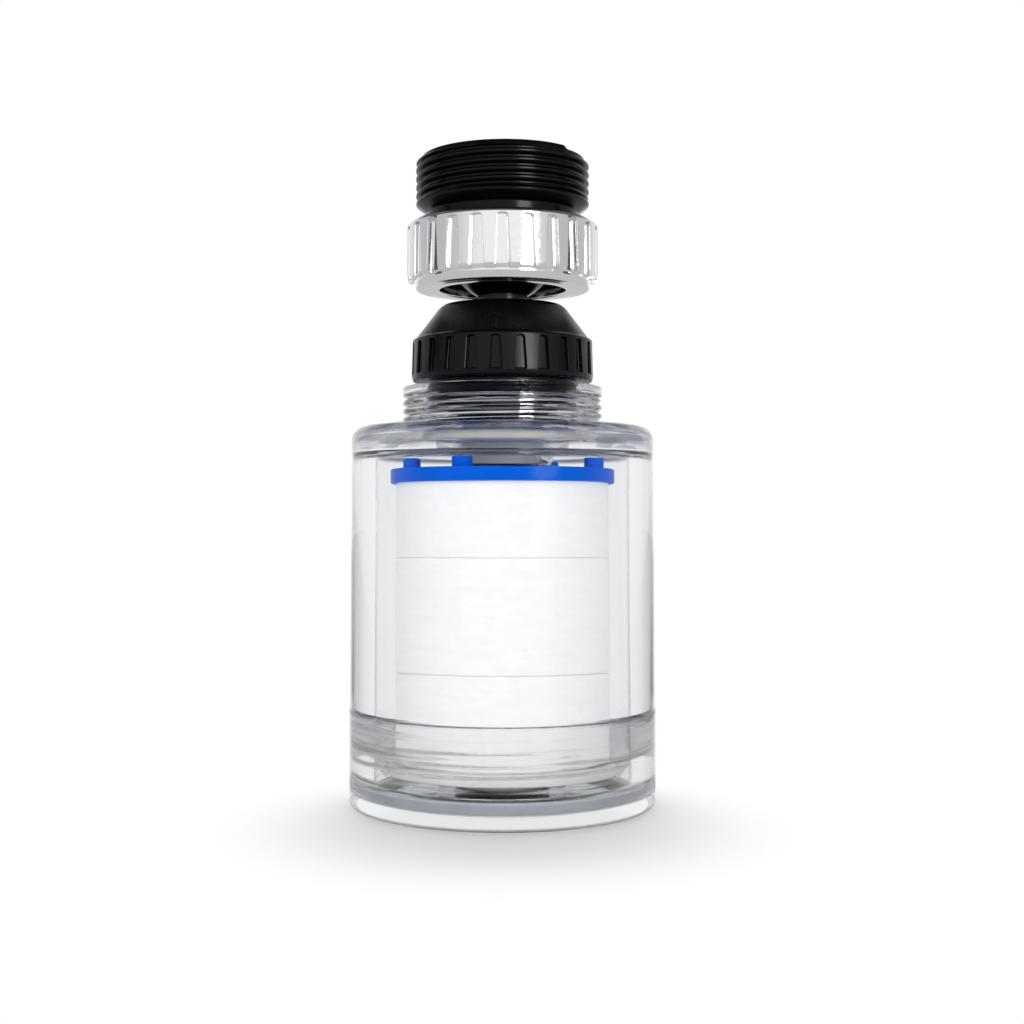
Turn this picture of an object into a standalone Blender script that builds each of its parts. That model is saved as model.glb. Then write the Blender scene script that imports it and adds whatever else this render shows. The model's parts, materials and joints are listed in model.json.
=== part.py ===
"""Faucet mount water filter: a clear screw-together housing with a cotton cartridge under a ball swivel.

The filter stands on its base cap, as it does on a table. Its axis is +Z, and the origin is the
centre of the cap's underside. The stack is worked out from the bottom up: base cap, housing with
the cartridge inside, coupling collar, ball stem, and the swivel head that screws to the tap.
"""
import math

import bmesh
import bpy
from mathutils import Matrix, Vector

MM = 0.001

# Clearances
FIT_GAP = 0.3 * MM          # radial, between a bore or thread and what goes in it
SEAT_GAP = 0.3 * MM         # along the axis, between a piece and what it rests on
EDGE = 0.3 * MM             # small chamfer that breaks a moulded edge
CUT_MARGIN = 1.0 * MM       # how far a cutter runs past the surface it cuts

# Base cap, with the outlet in its floor
BASE_OVERHANG = 0.1 * MM    # how far the cap stands out past the housing's foot
BASE_HEIGHT = 13.2 * MM
BASE_WALL = 1.65 * MM
BASE_FLOOR = 1.7 * MM
BASE_CORNER = 0.6 * MM
OUTLET_BOSS_WALL = 1.8 * MM
OUTLET_BOSS_HEIGHT = 4.7 * MM
BASE_SEAL_THICKNESS = 1.5 * MM
BASE_SEAL_LIP = 1.5 * MM    # radial width of the seal ring

# Housing
HOUSING_R = 21.15 * MM      # at its foot
HOUSING_DRAFT = 0.2 * MM    # how much narrower it is at the shoulder
HOUSING_HEIGHT = 38.6 * MM  # of the wide body, joint line to shoulder
HOUSING_WALL = 3.45 * MM
SHOULDER_CORNER = 2.0 * MM
CEILING = 3.6 * MM
CEILING_FILLET = 1.0 * MM
CEILING_HOLE_R = 6.0 * MM
CEILING_LEDGE = 1.0 * MM    # thickness of the ledge that the neck washer lies on

# Housing neck
NECK_R = 14.05 * MM
NECK_HEIGHT = 5.5 * MM
NECK_PLAIN = 1.5 * MM       # plain ring above the thread
NECK_PITCH = 1.5 * MM
NECK_TURNS = 2
NECK_THREAD_DEPTH = 0.75 * MM
NECK_BORE_R = 10.9 * MM
NECK_WASHER_THICKNESS = 1.1 * MM
NECK_WASHER_HOLE_R = 6.6 * MM

# Cartridge
CARTRIDGE_PLAY = 2.1 * MM   # radial, between the end caps and the housing's bore
TOP_CAP_THICKNESS = 1.8 * MM
PIN_R = 1.3 * MM
PIN_INSET = 2.6 * MM        # of the pins' centres from the cap's edge
PIN_HEIGHT = 1.75 * MM
PIN_ROUND = 0.35 * MM
PIN_COUNT = 4
PIN_FIRST_ANGLE = math.radians(67.0)
PIN_PLAY = 0.45 * MM        # from the pins to the housing's ceiling
BOTTOM_CAP_THICKNESS = 1.5 * MM
FLOW_BORE_R = 4.0 * MM      # clear way from the core down through the outlet nipple
NIPPLE_R = 6.7 * MM
NIPPLE_LIFT = 0.9 * MM      # nipple's end above the underside of the base cap
NIPPLE_GROOVE_DEPTH = 1.1 * MM
OUTLET_SEAL_R = 0.4 * MM    # half the thickness of the O-ring round the nipple
PLUG_WALL = 0.9 * MM        # wall of the caps' plugs that centre the core
PLUG_HEIGHT = 2.0 * MM
CORE_WALL = 1.2 * MM
CORE_HOLE_R = 1.1 * MM
CORE_HOLE_ROWS = 5
CORE_HOLES_ROUND = 6
COTTON_INSET = 0.7 * MM     # of the cotton from the end caps' edge
COTTON_SWELL = 0.1 * MM     # how much fuller the middle band is wound
COTTON_SOFT_EDGE = 0.4 * MM
LOWER_BAND = 11.4 * MM
UPPER_BAND = 10.2 * MM

# Coupling collar
COLLAR_STANDOFF = 0.8 * MM  # from the top of the neck to the collar's skirt
COLLAR_R = 12.67 * MM       # at its lower rim
COLLAR_DRAFT = 0.17 * MM
COLLAR_SKIRT = 5.7 * MM     # height of the fluted part
COLLAR_BREAK = 0.3 * MM     # height of the soft step from the skirt to the cone
CONE_FOOT_R = 12.0 * MM
CONE_TOP_R = 8.8 * MM
CONE_HEIGHT = 4.6 * MM
CONE_ROUND = 0.5 * MM
COLLAR_SPIGOT_WALL = 2.0 * MM
COLLAR_CAVITY_RISE = 2.8 * MM   # how far the cored-out inside rises above the skirt's foot
COLLAR_FLUTES = 24
COLLAR_FLUTE_DEPTH = 0.6 * MM
COLLAR_FLUTE_LOW = 1.9 * MM     # width at the lower end
COLLAR_FLUTE_HIGH = 1.3 * MM    # width at the upper end
COLLAR_RIM = 0.9 * MM           # plain rim under the flutes
COLLAR_FLUTE_TOP = 0.3 * MM     # plain skirt above the flutes

# Ball stem
BALL_R = 7.9 * MM
BALL_RISE = 8.5 * MM        # ball's centre above the collar's top
BALL_FLAT = 3.7 * MM        # the ball is cut flat this far above its centre
STEM_NECK_R = 3.45 * MM
STEM_BORE_R = 2.3 * MM
STEM_FLARE = 1.4 * MM       # countersink where the bore opens in the ball
SHANK_R = 4.7 * MM
SHANK_LENGTH = 7.6 * MM
STEM_SEAL_R = 0.45 * MM
SHANK_GROOVE_DEPTH = 1.2 * MM
SHANK_GROOVE_LIFT = 2.0 * MM    # groove's middle above the shank's foot

# Swivel nut and the seat ring in it
NUT_R = 13.34 * MM
NUT_DROP = 6.4 * MM         # nut's underside below the ball's centre
NUT_HEIGHT = 9.1 * MM
NUT_CHAMFER = 0.55 * MM
NUT_FLANGE_R = 12.5 * MM
NUT_FLANGE_HEIGHT = 1.5 * MM
NUT_LIP = 1.3 * MM
NUT_HOLE_R = 8.8 * MM
NUT_BORE_R = 11.6 * MM
NUT_FLUTES = 24
NUT_FLUTE_DEPTH = 0.69 * MM
NUT_FLUTE_LOW = 2.0 * MM
NUT_FLUTE_HIGH = 1.35 * MM
NUT_TOP_RIM = 0.75 * MM     # plain rim above the flutes
SEAT_TOP_DROP = 1.0 * MM    # seat ring's top below the ball's centre

# Inlet adapter
ADAPTER_NECK_R = 10.5 * MM
ADAPTER_SPIGOT_STEP = 0.5 * MM  # spigot's shoulder below the nut's top
ADAPTER_NECK_LENGTH = 1.5 * MM  # plain neck between the nut and the flange
ADAPTER_FLANGE_HEIGHT = 1.1 * MM
ADAPTER_THREAD_R = 12.05 * MM
ADAPTER_THREAD_DEPTH = 0.65 * MM
ADAPTER_TURNS = 6
ADAPTER_LEAD = 0.45 * MM    # bevel that starts the thread
ADAPTER_RIM_R = 11.3 * MM
ADAPTER_SOCKET_R = 10.2 * MM
ADAPTER_SOCKET_DEPTH = 6.4 * MM
ADAPTER_WEB = 0.9 * MM
ADAPTER_PASSAGE_R = 6.6 * MM
BALL_SEAL_R = 0.7 * MM
BALL_SEAL_ANGLE = math.radians(64.0)    # of the seal's contact on the ball, from the axis
SCREEN_THICKNESS = 0.4 * MM
SCREEN_HOLE_R = 0.75 * MM
SCREEN_PITCH = 2.3 * MM
SCREEN_RINGS = 2
INLET_WASHER_THICKNESS = 1.3 * MM
INLET_WASHER_HOLE_R = 6.5 * MM

# Roundness of the turned pieces
WIDE_STEPS = 48
MIDDLE_STEPS = 32
NARROW_STEPS = 24
SEAL_STEPS = 6
SMALL_ROUND_STEPS = 6
WELD_DISTANCE = 0.00001
SHARP_ANGLE = math.radians(35.0)

# Radii and levels that follow from the sizes above
base_r = HOUSING_R + BASE_OVERHANG
base_bore_r = base_r - BASE_WALL
spigot_r = base_bore_r - FIT_GAP
housing_bore_r = HOUSING_R - HOUSING_WALL
outlet_bore_r = NIPPLE_R + FIT_GAP
seal_foot = BASE_FLOOR + SEAT_GAP
housing_foot = seal_foot + BASE_SEAL_THICKNESS + SEAT_GAP
joint_line = BASE_HEIGHT + SEAT_GAP
shoulder_z = joint_line + HOUSING_HEIGHT
ceiling_z = shoulder_z - CEILING
ledge_z = ceiling_z + CEILING_LEDGE
neck_top = shoulder_z + NECK_HEIGHT
neck_washer_foot = ledge_z + SEAT_GAP
neck_washer_r = NECK_BORE_R - FIT_GAP

cap_r = housing_bore_r - CARTRIDGE_PLAY
pin_circle_r = cap_r - PIN_INSET
cotton_r = cap_r - COTTON_INSET
plug_r = FLOW_BORE_R + PLUG_WALL
core_bore_r = plug_r + FIT_GAP
core_r = core_bore_r + CORE_WALL
bottom_cap_foot = OUTLET_BOSS_HEIGHT + SEAT_GAP
bottom_cap_top = bottom_cap_foot + BOTTOM_CAP_THICKNESS
top_cap_top = ceiling_z - PIN_PLAY - PIN_HEIGHT
top_cap_foot = top_cap_top - TOP_CAP_THICKNESS
core_foot = bottom_cap_top + SEAT_GAP
core_top = top_cap_foot - SEAT_GAP
nipple_groove_r = NIPPLE_R - NIPPLE_GROOVE_DEPTH
outlet_seal_ring_r = NIPPLE_R - OUTLET_SEAL_R
outlet_seal_z = (NIPPLE_LIFT + OUTLET_BOSS_HEIGHT) / 2

collar_spigot_r = NECK_BORE_R - FIT_GAP
collar_spigot_foot = neck_washer_foot + NECK_WASHER_THICKNESS + SEAT_GAP
collar_foot = neck_top + COLLAR_STANDOFF
cone_foot = collar_foot + COLLAR_SKIRT + COLLAR_BREAK
collar_top = cone_foot + CONE_HEIGHT
collar_hole_r = SHANK_R + FIT_GAP

ball_z = collar_top + BALL_RISE
shank_top = collar_top - SEAT_GAP
shank_foot = shank_top - SHANK_LENGTH
stem_seal_z = shank_foot + SHANK_GROOVE_LIFT
stem_seal_ring_r = SHANK_R - STEM_SEAL_R

cup_r = BALL_R + FIT_GAP    # of the spherical seats round the ball
nut_foot = ball_z - NUT_DROP
nut_top = nut_foot + NUT_HEIGHT
seat_ring_foot = nut_foot + NUT_LIP + SEAT_GAP
seat_ring_top = ball_z - SEAT_TOP_DROP
seat_ring_r = NUT_BORE_R - FIT_GAP

ball_seal_reach = BALL_R + FIT_GAP + BALL_SEAL_R
ball_seal_ring_r = ball_seal_reach * math.sin(BALL_SEAL_ANGLE)
ball_seal_z = ball_z + ball_seal_reach * math.cos(BALL_SEAL_ANGLE)
seal_groove_r = ball_seal_ring_r + BALL_SEAL_R + FIT_GAP
seal_groove_low = ball_seal_z - BALL_SEAL_R - 2 * SEAT_GAP
seal_groove_high = ball_seal_z + BALL_SEAL_R + SEAT_GAP
adapter_foot = seat_ring_top + SEAT_GAP
adapter_spigot_r = NUT_BORE_R - FIT_GAP
adapter_spigot_top = nut_top - ADAPTER_SPIGOT_STEP
adapter_flange_foot = nut_top + ADAPTER_NECK_LENGTH
adapter_thread_foot = adapter_flange_foot + ADAPTER_FLANGE_HEIGHT
adapter_floor = seal_groove_high + ADAPTER_WEB
adapter_top = adapter_floor + ADAPTER_SOCKET_DEPTH
screen_foot = adapter_floor + SEAT_GAP
screen_r = ADAPTER_SOCKET_R - FIT_GAP
inlet_washer_foot = screen_foot + SCREEN_THICKNESS + SEAT_GAP


def clear_scene():
    """Start from an empty file, whatever was open."""
    for item in list(bpy.data.objects):
        bpy.data.objects.remove(item, do_unlink=True)


def new_collection(name):
    """Make a collection under the scene's own."""
    collection = bpy.data.collections.new(name)
    bpy.context.scene.collection.children.link(collection)
    return collection


def new_finish(name, colour, roughness, metallic=0.0, transmission=0.0):
    """Make one piece's material."""
    finish = bpy.data.materials.new(name)
    finish.use_nodes = True
    finish.diffuse_color = (*colour, 1.0)
    shader = finish.node_tree.nodes["Principled BSDF"]
    shader.inputs["Base Color"].default_value = (*colour, 1.0)
    shader.inputs["Roughness"].default_value = roughness
    shader.inputs["Metallic"].default_value = metallic
    shader.inputs["Transmission Weight"].default_value = transmission
    return finish


def clear_plastic(name):
    """Water-clear styrene, as the base cap and the housing are moulded in."""
    return new_finish(name, (0.86, 0.90, 0.94), 0.05, transmission=0.9)


def black_plastic(name):
    """Glossy black moulded plastic."""
    return new_finish(name, (0.012, 0.012, 0.013), 0.25)


def rubber(name, colour):
    """Soft seal material."""
    return new_finish(name, colour, 0.6)


def arc(centre_r, centre_z, radius, start, end, steps):
    """Points along an arc of a profile, angles in degrees from +X towards +Z, both ends included."""
    points = []
    for step in range(steps + 1):
        angle = math.radians(start + (end - start) * step / steps)
        points.append((centre_r + radius * math.cos(angle), centre_z + radius * math.sin(angle)))
    return points


def thread_rings(crest_r, root_r, high, low, count):
    """Crests and roots down the outer side of a threaded stretch, from high to low."""
    spacing = (high - low) / count
    points = []
    for ring in range(count):
        top = high - ring * spacing
        points.append((root_r, top))
        points.append((crest_r, top - spacing / 2))
    points.append((root_r, low))
    return points


def plain_ring(inner_r, outer_r, low, high):
    """Square-section ring, for washers and bands."""
    return [(outer_r, high), (outer_r, low), (inner_r, low), (inner_r, high)]


def soft_ring(inner_r, outer_r, low, high, edge):
    """Ring whose outer edges are rolled over."""
    return [
        (outer_r - edge, high),
        (outer_r, high - edge),
        (outer_r, low + edge),
        (outer_r - edge, low),
        (inner_r, low),
        (inner_r, high),
    ]


def add_object(name, mesh, collection, finish=None):
    """Link a mesh to a collection under a name."""
    mesh.name = name
    item = bpy.data.objects.new(name, mesh)
    collection.objects.link(item)
    if finish:
        mesh.materials.append(finish)
    return item


def shade(mesh):
    """Smooth the round faces and keep the corners sharp."""
    mesh.shade_smooth()
    mesh.set_sharp_from_angle(angle=SHARP_ANGLE)


def turned(name, profile, steps, collection, finish):
    """Turn a profile about the axis. It runs down the outer side, then up the inner one.

    A profile whose two ends lie on the axis is left open there, and makes a solid without a bore.
    The object's origin is on the axis, level with its lowest point.
    """
    foot = min(height for radius, height in profile)
    points = [(radius, 0.0, height - foot) for radius, height in profile]
    edges = [(index, index + 1) for index in range(len(points) - 1)]
    on_axis = profile[0][0] == 0.0 and profile[-1][0] == 0.0
    if not on_axis:
        edges.append((len(points) - 1, 0))
    outline = bpy.data.meshes.new(name + "_outline")
    outline.from_pydata(points, edges, [])
    blank = bpy.data.objects.new(name + "_blank", outline)
    collection.objects.link(blank)
    screw = blank.modifiers.new("Turn", "SCREW")
    screw.axis = "Z"
    screw.angle = math.tau
    screw.steps = steps
    screw.render_steps = steps
    screw.use_merge_vertices = True
    screw.merge_threshold = WELD_DISTANCE
    depsgraph = bpy.context.evaluated_depsgraph_get()
    mesh = bpy.data.meshes.new_from_object(blank.evaluated_get(depsgraph))
    bpy.data.objects.remove(blank, do_unlink=True)
    shade(mesh)
    piece = add_object(name, mesh, collection, finish)
    piece.location.z = foot
    return piece


def o_ring(name, ring_r, level, section_r, collection, finish):
    """Round-section seal ring."""
    section = arc(ring_r, level, section_r, 90, 90 - 360 * (SEAL_STEPS - 1) / SEAL_STEPS, SEAL_STEPS - 1)
    return turned(name, section, NARROW_STEPS, collection, finish)


def boolean(piece, tool, operation):
    """Cut a tool out of a piece, or join it on."""
    change = piece.modifiers.new(tool.name, "BOOLEAN")
    change.operation = operation
    change.solver = "EXACT"
    change.object = tool


def tool_object(name, bm, collection):
    """Finish a cutter or a joined form, which isn't a piece by itself."""
    bmesh.ops.recalc_face_normals(bm, faces=bm.faces)
    mesh = bpy.data.meshes.new(name)
    bm.to_mesh(mesh)
    bm.free()
    tool = add_object(name, mesh, collection)
    tool.hide_render = True
    tool.display_type = "WIRE"
    return tool


def flutes(name, count, root_r, outer_r, low, high, width_low, width_high, collection):
    """Ring of tapered grip flutes: wide and square below, narrow and round-cornered above."""
    corner = width_high / 4
    outline = [(-width_low / 2, low), (width_low / 2, low)]
    outline += arc(width_high / 2 - corner, high - corner, corner, 0, 90, 2)
    outline += arc(corner - width_high / 2, high - corner, corner, 90, 180, 2)
    bm = bmesh.new()
    for index in range(count):
        turn = Matrix.Rotation(math.tau * index / count, 4, "Z")
        corners = [bm.verts.new(turn @ Vector((root_r, across, height))) for across, height in outline]
        face = bm.faces.new(corners)
        grown = bmesh.ops.extrude_face_region(bm, geom=[face])
        moved = [item for item in grown["geom"] if isinstance(item, bmesh.types.BMVert)]
        outward = turn @ Vector((outer_r - root_r, 0.0, 0.0))
        bmesh.ops.translate(bm, verts=moved, vec=outward)
    return tool_object(name, bm, collection)


def build_base_cap(parts):
    """Clear cap that screws on from below, with the socket for the cartridge's outlet nipple."""
    boss_r = outlet_bore_r + OUTLET_BOSS_WALL
    profile = [(base_r - EDGE, BASE_HEIGHT), (base_r, BASE_HEIGHT - EDGE)]
    profile += arc(base_r - BASE_CORNER, BASE_CORNER, BASE_CORNER, 0, -90, 3)
    profile += [
        (outlet_bore_r + EDGE, 0.0),
        (outlet_bore_r, EDGE),
        (outlet_bore_r, OUTLET_BOSS_HEIGHT),
        (boss_r, OUTLET_BOSS_HEIGHT),
        (boss_r, BASE_FLOOR),
        (base_bore_r, BASE_FLOOR),
        (base_bore_r, BASE_HEIGHT - EDGE),
        (base_bore_r + EDGE, BASE_HEIGHT),
    ]
    return turned("base_cap", profile, WIDE_STEPS, parts, clear_plastic("base_cap_clear"))


def build_base_seal(parts):
    """Silicone ring on the base cap's floor, under the end of the housing."""
    outer_r = spigot_r
    ring = plain_ring(outer_r - BASE_SEAL_LIP, outer_r, seal_foot, seal_foot + BASE_SEAL_THICKNESS)
    return turned("base_seal", ring, WIDE_STEPS, parts, rubber("base_seal_silicone", (0.55, 0.56, 0.57)))


def build_housing(parts):
    """Clear body: threaded spigot below, thick ceiling, and the neck that takes the collar."""
    top_r = HOUSING_R - HOUSING_DRAFT
    root_r = NECK_R - NECK_THREAD_DEPTH
    thread_high = neck_top - NECK_PLAIN
    thread_low = thread_high - NECK_TURNS * NECK_PITCH
    profile = [(NECK_R - EDGE, neck_top), (NECK_R, neck_top - EDGE), (NECK_R, thread_high + EDGE)]
    profile += thread_rings(NECK_R, root_r, thread_high, thread_low, NECK_TURNS)
    profile.append((root_r, shoulder_z))
    profile += arc(top_r - SHOULDER_CORNER, shoulder_z - SHOULDER_CORNER, SHOULDER_CORNER, 90, 0, 4)
    profile += [
        (HOUSING_R, joint_line + EDGE),
        (HOUSING_R - EDGE, joint_line),
        (spigot_r, joint_line),
        (spigot_r, housing_foot + EDGE),
        (spigot_r - EDGE, housing_foot),
        (housing_bore_r, housing_foot),
    ]
    profile += arc(housing_bore_r - CEILING_FILLET, ceiling_z - CEILING_FILLET, CEILING_FILLET, 0, 90, 2)
    profile += [
        (CEILING_HOLE_R, ceiling_z),
        (CEILING_HOLE_R, ledge_z),
        (NECK_BORE_R, ledge_z),
        (NECK_BORE_R, neck_top),
    ]
    return turned("housing", profile, WIDE_STEPS, parts, clear_plastic("housing_clear"))


def build_neck_washer(parts):
    """Grey silicone washer at the bottom of the neck, under the collar's spigot."""
    high = neck_washer_foot + NECK_WASHER_THICKNESS
    ring = plain_ring(NECK_WASHER_HOLE_R, neck_washer_r, neck_washer_foot, high)
    return turned("neck_washer", ring, MIDDLE_STEPS, parts, rubber("neck_washer_silicone", (0.50, 0.49, 0.46)))


def build_cartridge_bottom_cap(parts):
    """White end cap whose nipple plugs into the outlet, with a groove for its O-ring."""
    groove_half = OUTLET_SEAL_R + SEAT_GAP
    profile = [
        (plug_r, bottom_cap_top + PLUG_HEIGHT),
        (plug_r, bottom_cap_top),
        (cap_r, bottom_cap_top),
        (cap_r, bottom_cap_foot),
        (NIPPLE_R, bottom_cap_foot),
        (NIPPLE_R, outlet_seal_z + groove_half),
        (nipple_groove_r, outlet_seal_z + groove_half),
        (nipple_groove_r, outlet_seal_z - groove_half),
        (NIPPLE_R, outlet_seal_z - groove_half),
        (NIPPLE_R, NIPPLE_LIFT + EDGE),
        (NIPPLE_R - EDGE, NIPPLE_LIFT),
        (FLOW_BORE_R, NIPPLE_LIFT),
        (FLOW_BORE_R, bottom_cap_top + PLUG_HEIGHT),
    ]
    finish = new_finish("cartridge_bottom_cap_white", (0.82, 0.82, 0.80), 0.4)
    return turned("cartridge_bottom_cap", profile, MIDDLE_STEPS, parts, finish)


def build_outlet_seal(parts):
    """O-ring round the cartridge's nipple."""
    finish = rubber("outlet_seal_rubber", (0.02, 0.02, 0.02))
    return o_ring("outlet_seal", outlet_seal_ring_r, outlet_seal_z, OUTLET_SEAL_R, parts, finish)


def build_core_tube(parts, tools):
    """Perforated tube that the cotton is wound on."""
    finish = new_finish("core_tube_white", (0.80, 0.80, 0.78), 0.45)
    tube = turned("core_tube", plain_ring(core_bore_r, core_r, core_foot, core_top), NARROW_STEPS, parts, finish)
    bm = bmesh.new()
    row_spacing = (core_top - core_foot) / CORE_HOLE_ROWS
    middle_r = (core_bore_r + core_r) / 2
    for row in range(CORE_HOLE_ROWS):
        level = core_foot + (row + 0.5) * row_spacing
        for index in range(CORE_HOLES_ROUND):
            angle = math.tau * (index + 0.5 * (row % 2)) / CORE_HOLES_ROUND
            place = Matrix.Rotation(angle, 4, "Z") @ Matrix.Translation((middle_r, 0.0, level))
            bmesh.ops.create_cone(
                bm,
                cap_ends=True,
                segments=SMALL_ROUND_STEPS,
                radius1=CORE_HOLE_R,
                radius2=CORE_HOLE_R,
                depth=CORE_WALL + 2 * CUT_MARGIN,
                matrix=place @ Matrix.Rotation(math.pi / 2, 4, "Y"),
            )
    boolean(tube, tool_object("core_holes", bm, tools), "DIFFERENCE")
    return tube


def build_cotton(parts):
    """Three bands of cotton felt wound on the core, one above the other."""
    lower_top = core_foot + LOWER_BAND
    upper_foot = core_top - UPPER_BAND
    bands = [
        ("cotton_band_lower", core_foot, lower_top, cotton_r),
        ("cotton_band_middle", lower_top + SEAT_GAP, upper_foot - SEAT_GAP, cotton_r + COTTON_SWELL),
        ("cotton_band_upper", upper_foot, core_top, cotton_r),
    ]
    made = []
    for name, low, high, outer_r in bands:
        ring = soft_ring(core_r + FIT_GAP, outer_r, low, high, COTTON_SOFT_EDGE)
        finish = new_finish(name + "_felt", (0.90, 0.90, 0.90), 0.95)
        made.append(turned(name, ring, MIDDLE_STEPS, parts, finish))
    return made


def build_cartridge_top_cap(parts, tools):
    """Blue end cap, closed, with pins that hold it off the housing's ceiling."""
    profile = [
        (0.0, top_cap_top),
        (cap_r - EDGE, top_cap_top),
        (cap_r, top_cap_top - EDGE),
        (cap_r, top_cap_foot),
        (plug_r, top_cap_foot),
        (plug_r, top_cap_foot - PLUG_HEIGHT),
        (0.0, top_cap_foot - PLUG_HEIGHT),
    ]
    finish = new_finish("cartridge_top_cap_blue", (0.0, 0.10, 0.68), 0.35)
    cap = turned("cartridge_top_cap", profile, MIDDLE_STEPS, parts, finish)
    sink = TOP_CAP_THICKNESS / 2
    bm = bmesh.new()
    for index in range(PIN_COUNT):
        angle = PIN_FIRST_ANGLE + math.tau * index / PIN_COUNT
        place = Matrix.Rotation(angle, 4, "Z") @ Matrix.Translation((pin_circle_r, 0.0, top_cap_top))
        made = bmesh.ops.create_cone(
            bm,
            cap_ends=True,
            segments=2 * SMALL_ROUND_STEPS,
            radius1=PIN_R,
            radius2=PIN_R,
            depth=PIN_HEIGHT + sink,
            matrix=place @ Matrix.Translation((0.0, 0.0, (PIN_HEIGHT - sink) / 2)),
        )
        top = top_cap_top + PIN_HEIGHT - WELD_DISTANCE
        rim = {edge for vert in made["verts"] for edge in vert.link_edges}
        rim = [edge for edge in rim if all(vert.co.z > top for vert in edge.verts)]
        bmesh.ops.bevel(bm, geom=rim, offset=PIN_ROUND, segments=2, profile=0.5, affect="EDGES")
    boolean(cap, tool_object("cap_pins", bm, tools), "UNION")
    return cap


def build_coupling_collar(parts, tools):
    """Black collar: spigot into the neck, fluted skirt, and a cone that carries the ball stem."""
    skirt_top = collar_foot + COLLAR_SKIRT
    skirt_top_r = COLLAR_R - COLLAR_DRAFT
    cavity_r = collar_spigot_r - COLLAR_SPIGOT_WALL
    cavity_top = collar_foot + COLLAR_CAVITY_RISE
    profile = [
        (CONE_TOP_R - CONE_ROUND, collar_top),
        (CONE_TOP_R, collar_top - CONE_ROUND),
        (CONE_FOOT_R, cone_foot),
        (skirt_top_r, skirt_top),
        (COLLAR_R, collar_foot + EDGE),
        (COLLAR_R - EDGE, collar_foot),
        (collar_spigot_r, collar_foot),
        (collar_spigot_r, collar_spigot_foot + EDGE),
        (collar_spigot_r - EDGE, collar_spigot_foot),
        (cavity_r, collar_spigot_foot),
        (cavity_r, cavity_top),
        (collar_hole_r, cavity_top),
        (collar_hole_r, collar_top),
    ]
    collar = turned("coupling_collar", profile, WIDE_STEPS, parts, black_plastic("coupling_collar_black"))
    cutter = flutes(
        "collar_flutes",
        COLLAR_FLUTES,
        skirt_top_r - COLLAR_FLUTE_DEPTH,
        COLLAR_R + CUT_MARGIN,
        collar_foot + COLLAR_RIM,
        skirt_top - COLLAR_FLUTE_TOP,
        COLLAR_FLUTE_LOW,
        COLLAR_FLUTE_HIGH,
        tools,
    )
    boolean(collar, cutter, "DIFFERENCE")
    return collar


def build_stem_seal(parts):
    """O-ring in the shank's groove, inside the collar's bore."""
    finish = rubber("stem_seal_rubber", (0.02, 0.02, 0.02))
    return o_ring("stem_seal", stem_seal_ring_r, stem_seal_z, STEM_SEAL_R, parts, finish)


def build_ball_stem(parts):
    """Bored ball on a slim neck, with a shank that screws into the collar."""
    flat_angle = math.degrees(math.asin(BALL_FLAT / BALL_R))
    neck_angle = -math.degrees(math.acos(STEM_NECK_R / BALL_R))
    groove_half = STEM_SEAL_R + SEAT_GAP
    groove_r = SHANK_R - SHANK_GROOVE_DEPTH
    profile = arc(0.0, ball_z, BALL_R, flat_angle, neck_angle, 9)
    profile += [
        (STEM_NECK_R, shank_top),
        (SHANK_R, shank_top),
        (SHANK_R, stem_seal_z + groove_half),
        (groove_r, stem_seal_z + groove_half),
        (groove_r, stem_seal_z - groove_half),
        (SHANK_R, stem_seal_z - groove_half),
        (SHANK_R, shank_foot),
        (STEM_BORE_R, shank_foot),
        (STEM_BORE_R, ball_z + BALL_FLAT - STEM_FLARE),
        (STEM_BORE_R + STEM_FLARE, ball_z + BALL_FLAT),
    ]
    return turned("ball_stem", profile, NARROW_STEPS, parts, black_plastic("ball_stem_black"))


def build_ball_seat(parts):
    """Slip ring in the nut, cupped to the lower half of the ball."""
    low_angle = -math.degrees(math.asin((ball_z - seat_ring_foot) / cup_r))
    high_angle = -math.degrees(math.asin(SEAT_TOP_DROP / cup_r))
    profile = [(seat_ring_r, seat_ring_top), (seat_ring_r, seat_ring_foot)]
    profile += arc(0.0, ball_z, cup_r, low_angle, high_angle, 4)
    return turned("ball_seat", profile, NARROW_STEPS, parts, black_plastic("ball_seat_black"))


def build_ball_seal(parts):
    """O-ring in the adapter, on the upper half of the ball."""
    finish = rubber("ball_seal_rubber", (0.02, 0.02, 0.02))
    return o_ring("ball_seal", ball_seal_ring_r, ball_seal_z, BALL_SEAL_R, parts, finish)


def build_swivel_nut(parts, tools):
    """Bright fluted nut that holds the ball up against the adapter."""
    land_foot = nut_foot + NUT_FLANGE_HEIGHT
    lip_top = nut_foot + NUT_LIP
    profile = [
        (NUT_R - NUT_CHAMFER, nut_top),
        (NUT_R, nut_top - NUT_CHAMFER),
        (NUT_R, land_foot),
        (NUT_FLANGE_R, land_foot),
        (NUT_FLANGE_R, nut_foot + EDGE),
        (NUT_FLANGE_R - EDGE, nut_foot),
        (NUT_HOLE_R + EDGE, nut_foot),
        (NUT_HOLE_R, nut_foot + EDGE),
        (NUT_HOLE_R, lip_top),
        (NUT_BORE_R, lip_top),
        (NUT_BORE_R, nut_top),
    ]
    finish = new_finish("swivel_nut_chrome", (0.80, 0.81, 0.83), 0.08, metallic=1.0)
    nut = turned("swivel_nut", profile, WIDE_STEPS, parts, finish)
    cutter = flutes(
        "nut_flutes",
        NUT_FLUTES,
        NUT_R - NUT_FLUTE_DEPTH,
        NUT_R + CUT_MARGIN,
        land_foot - CUT_MARGIN / 2,
        nut_top - NUT_TOP_RIM,
        NUT_FLUTE_LOW,
        NUT_FLUTE_HIGH,
        tools,
    )
    boolean(nut, cutter, "DIFFERENCE")
    return nut


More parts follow.
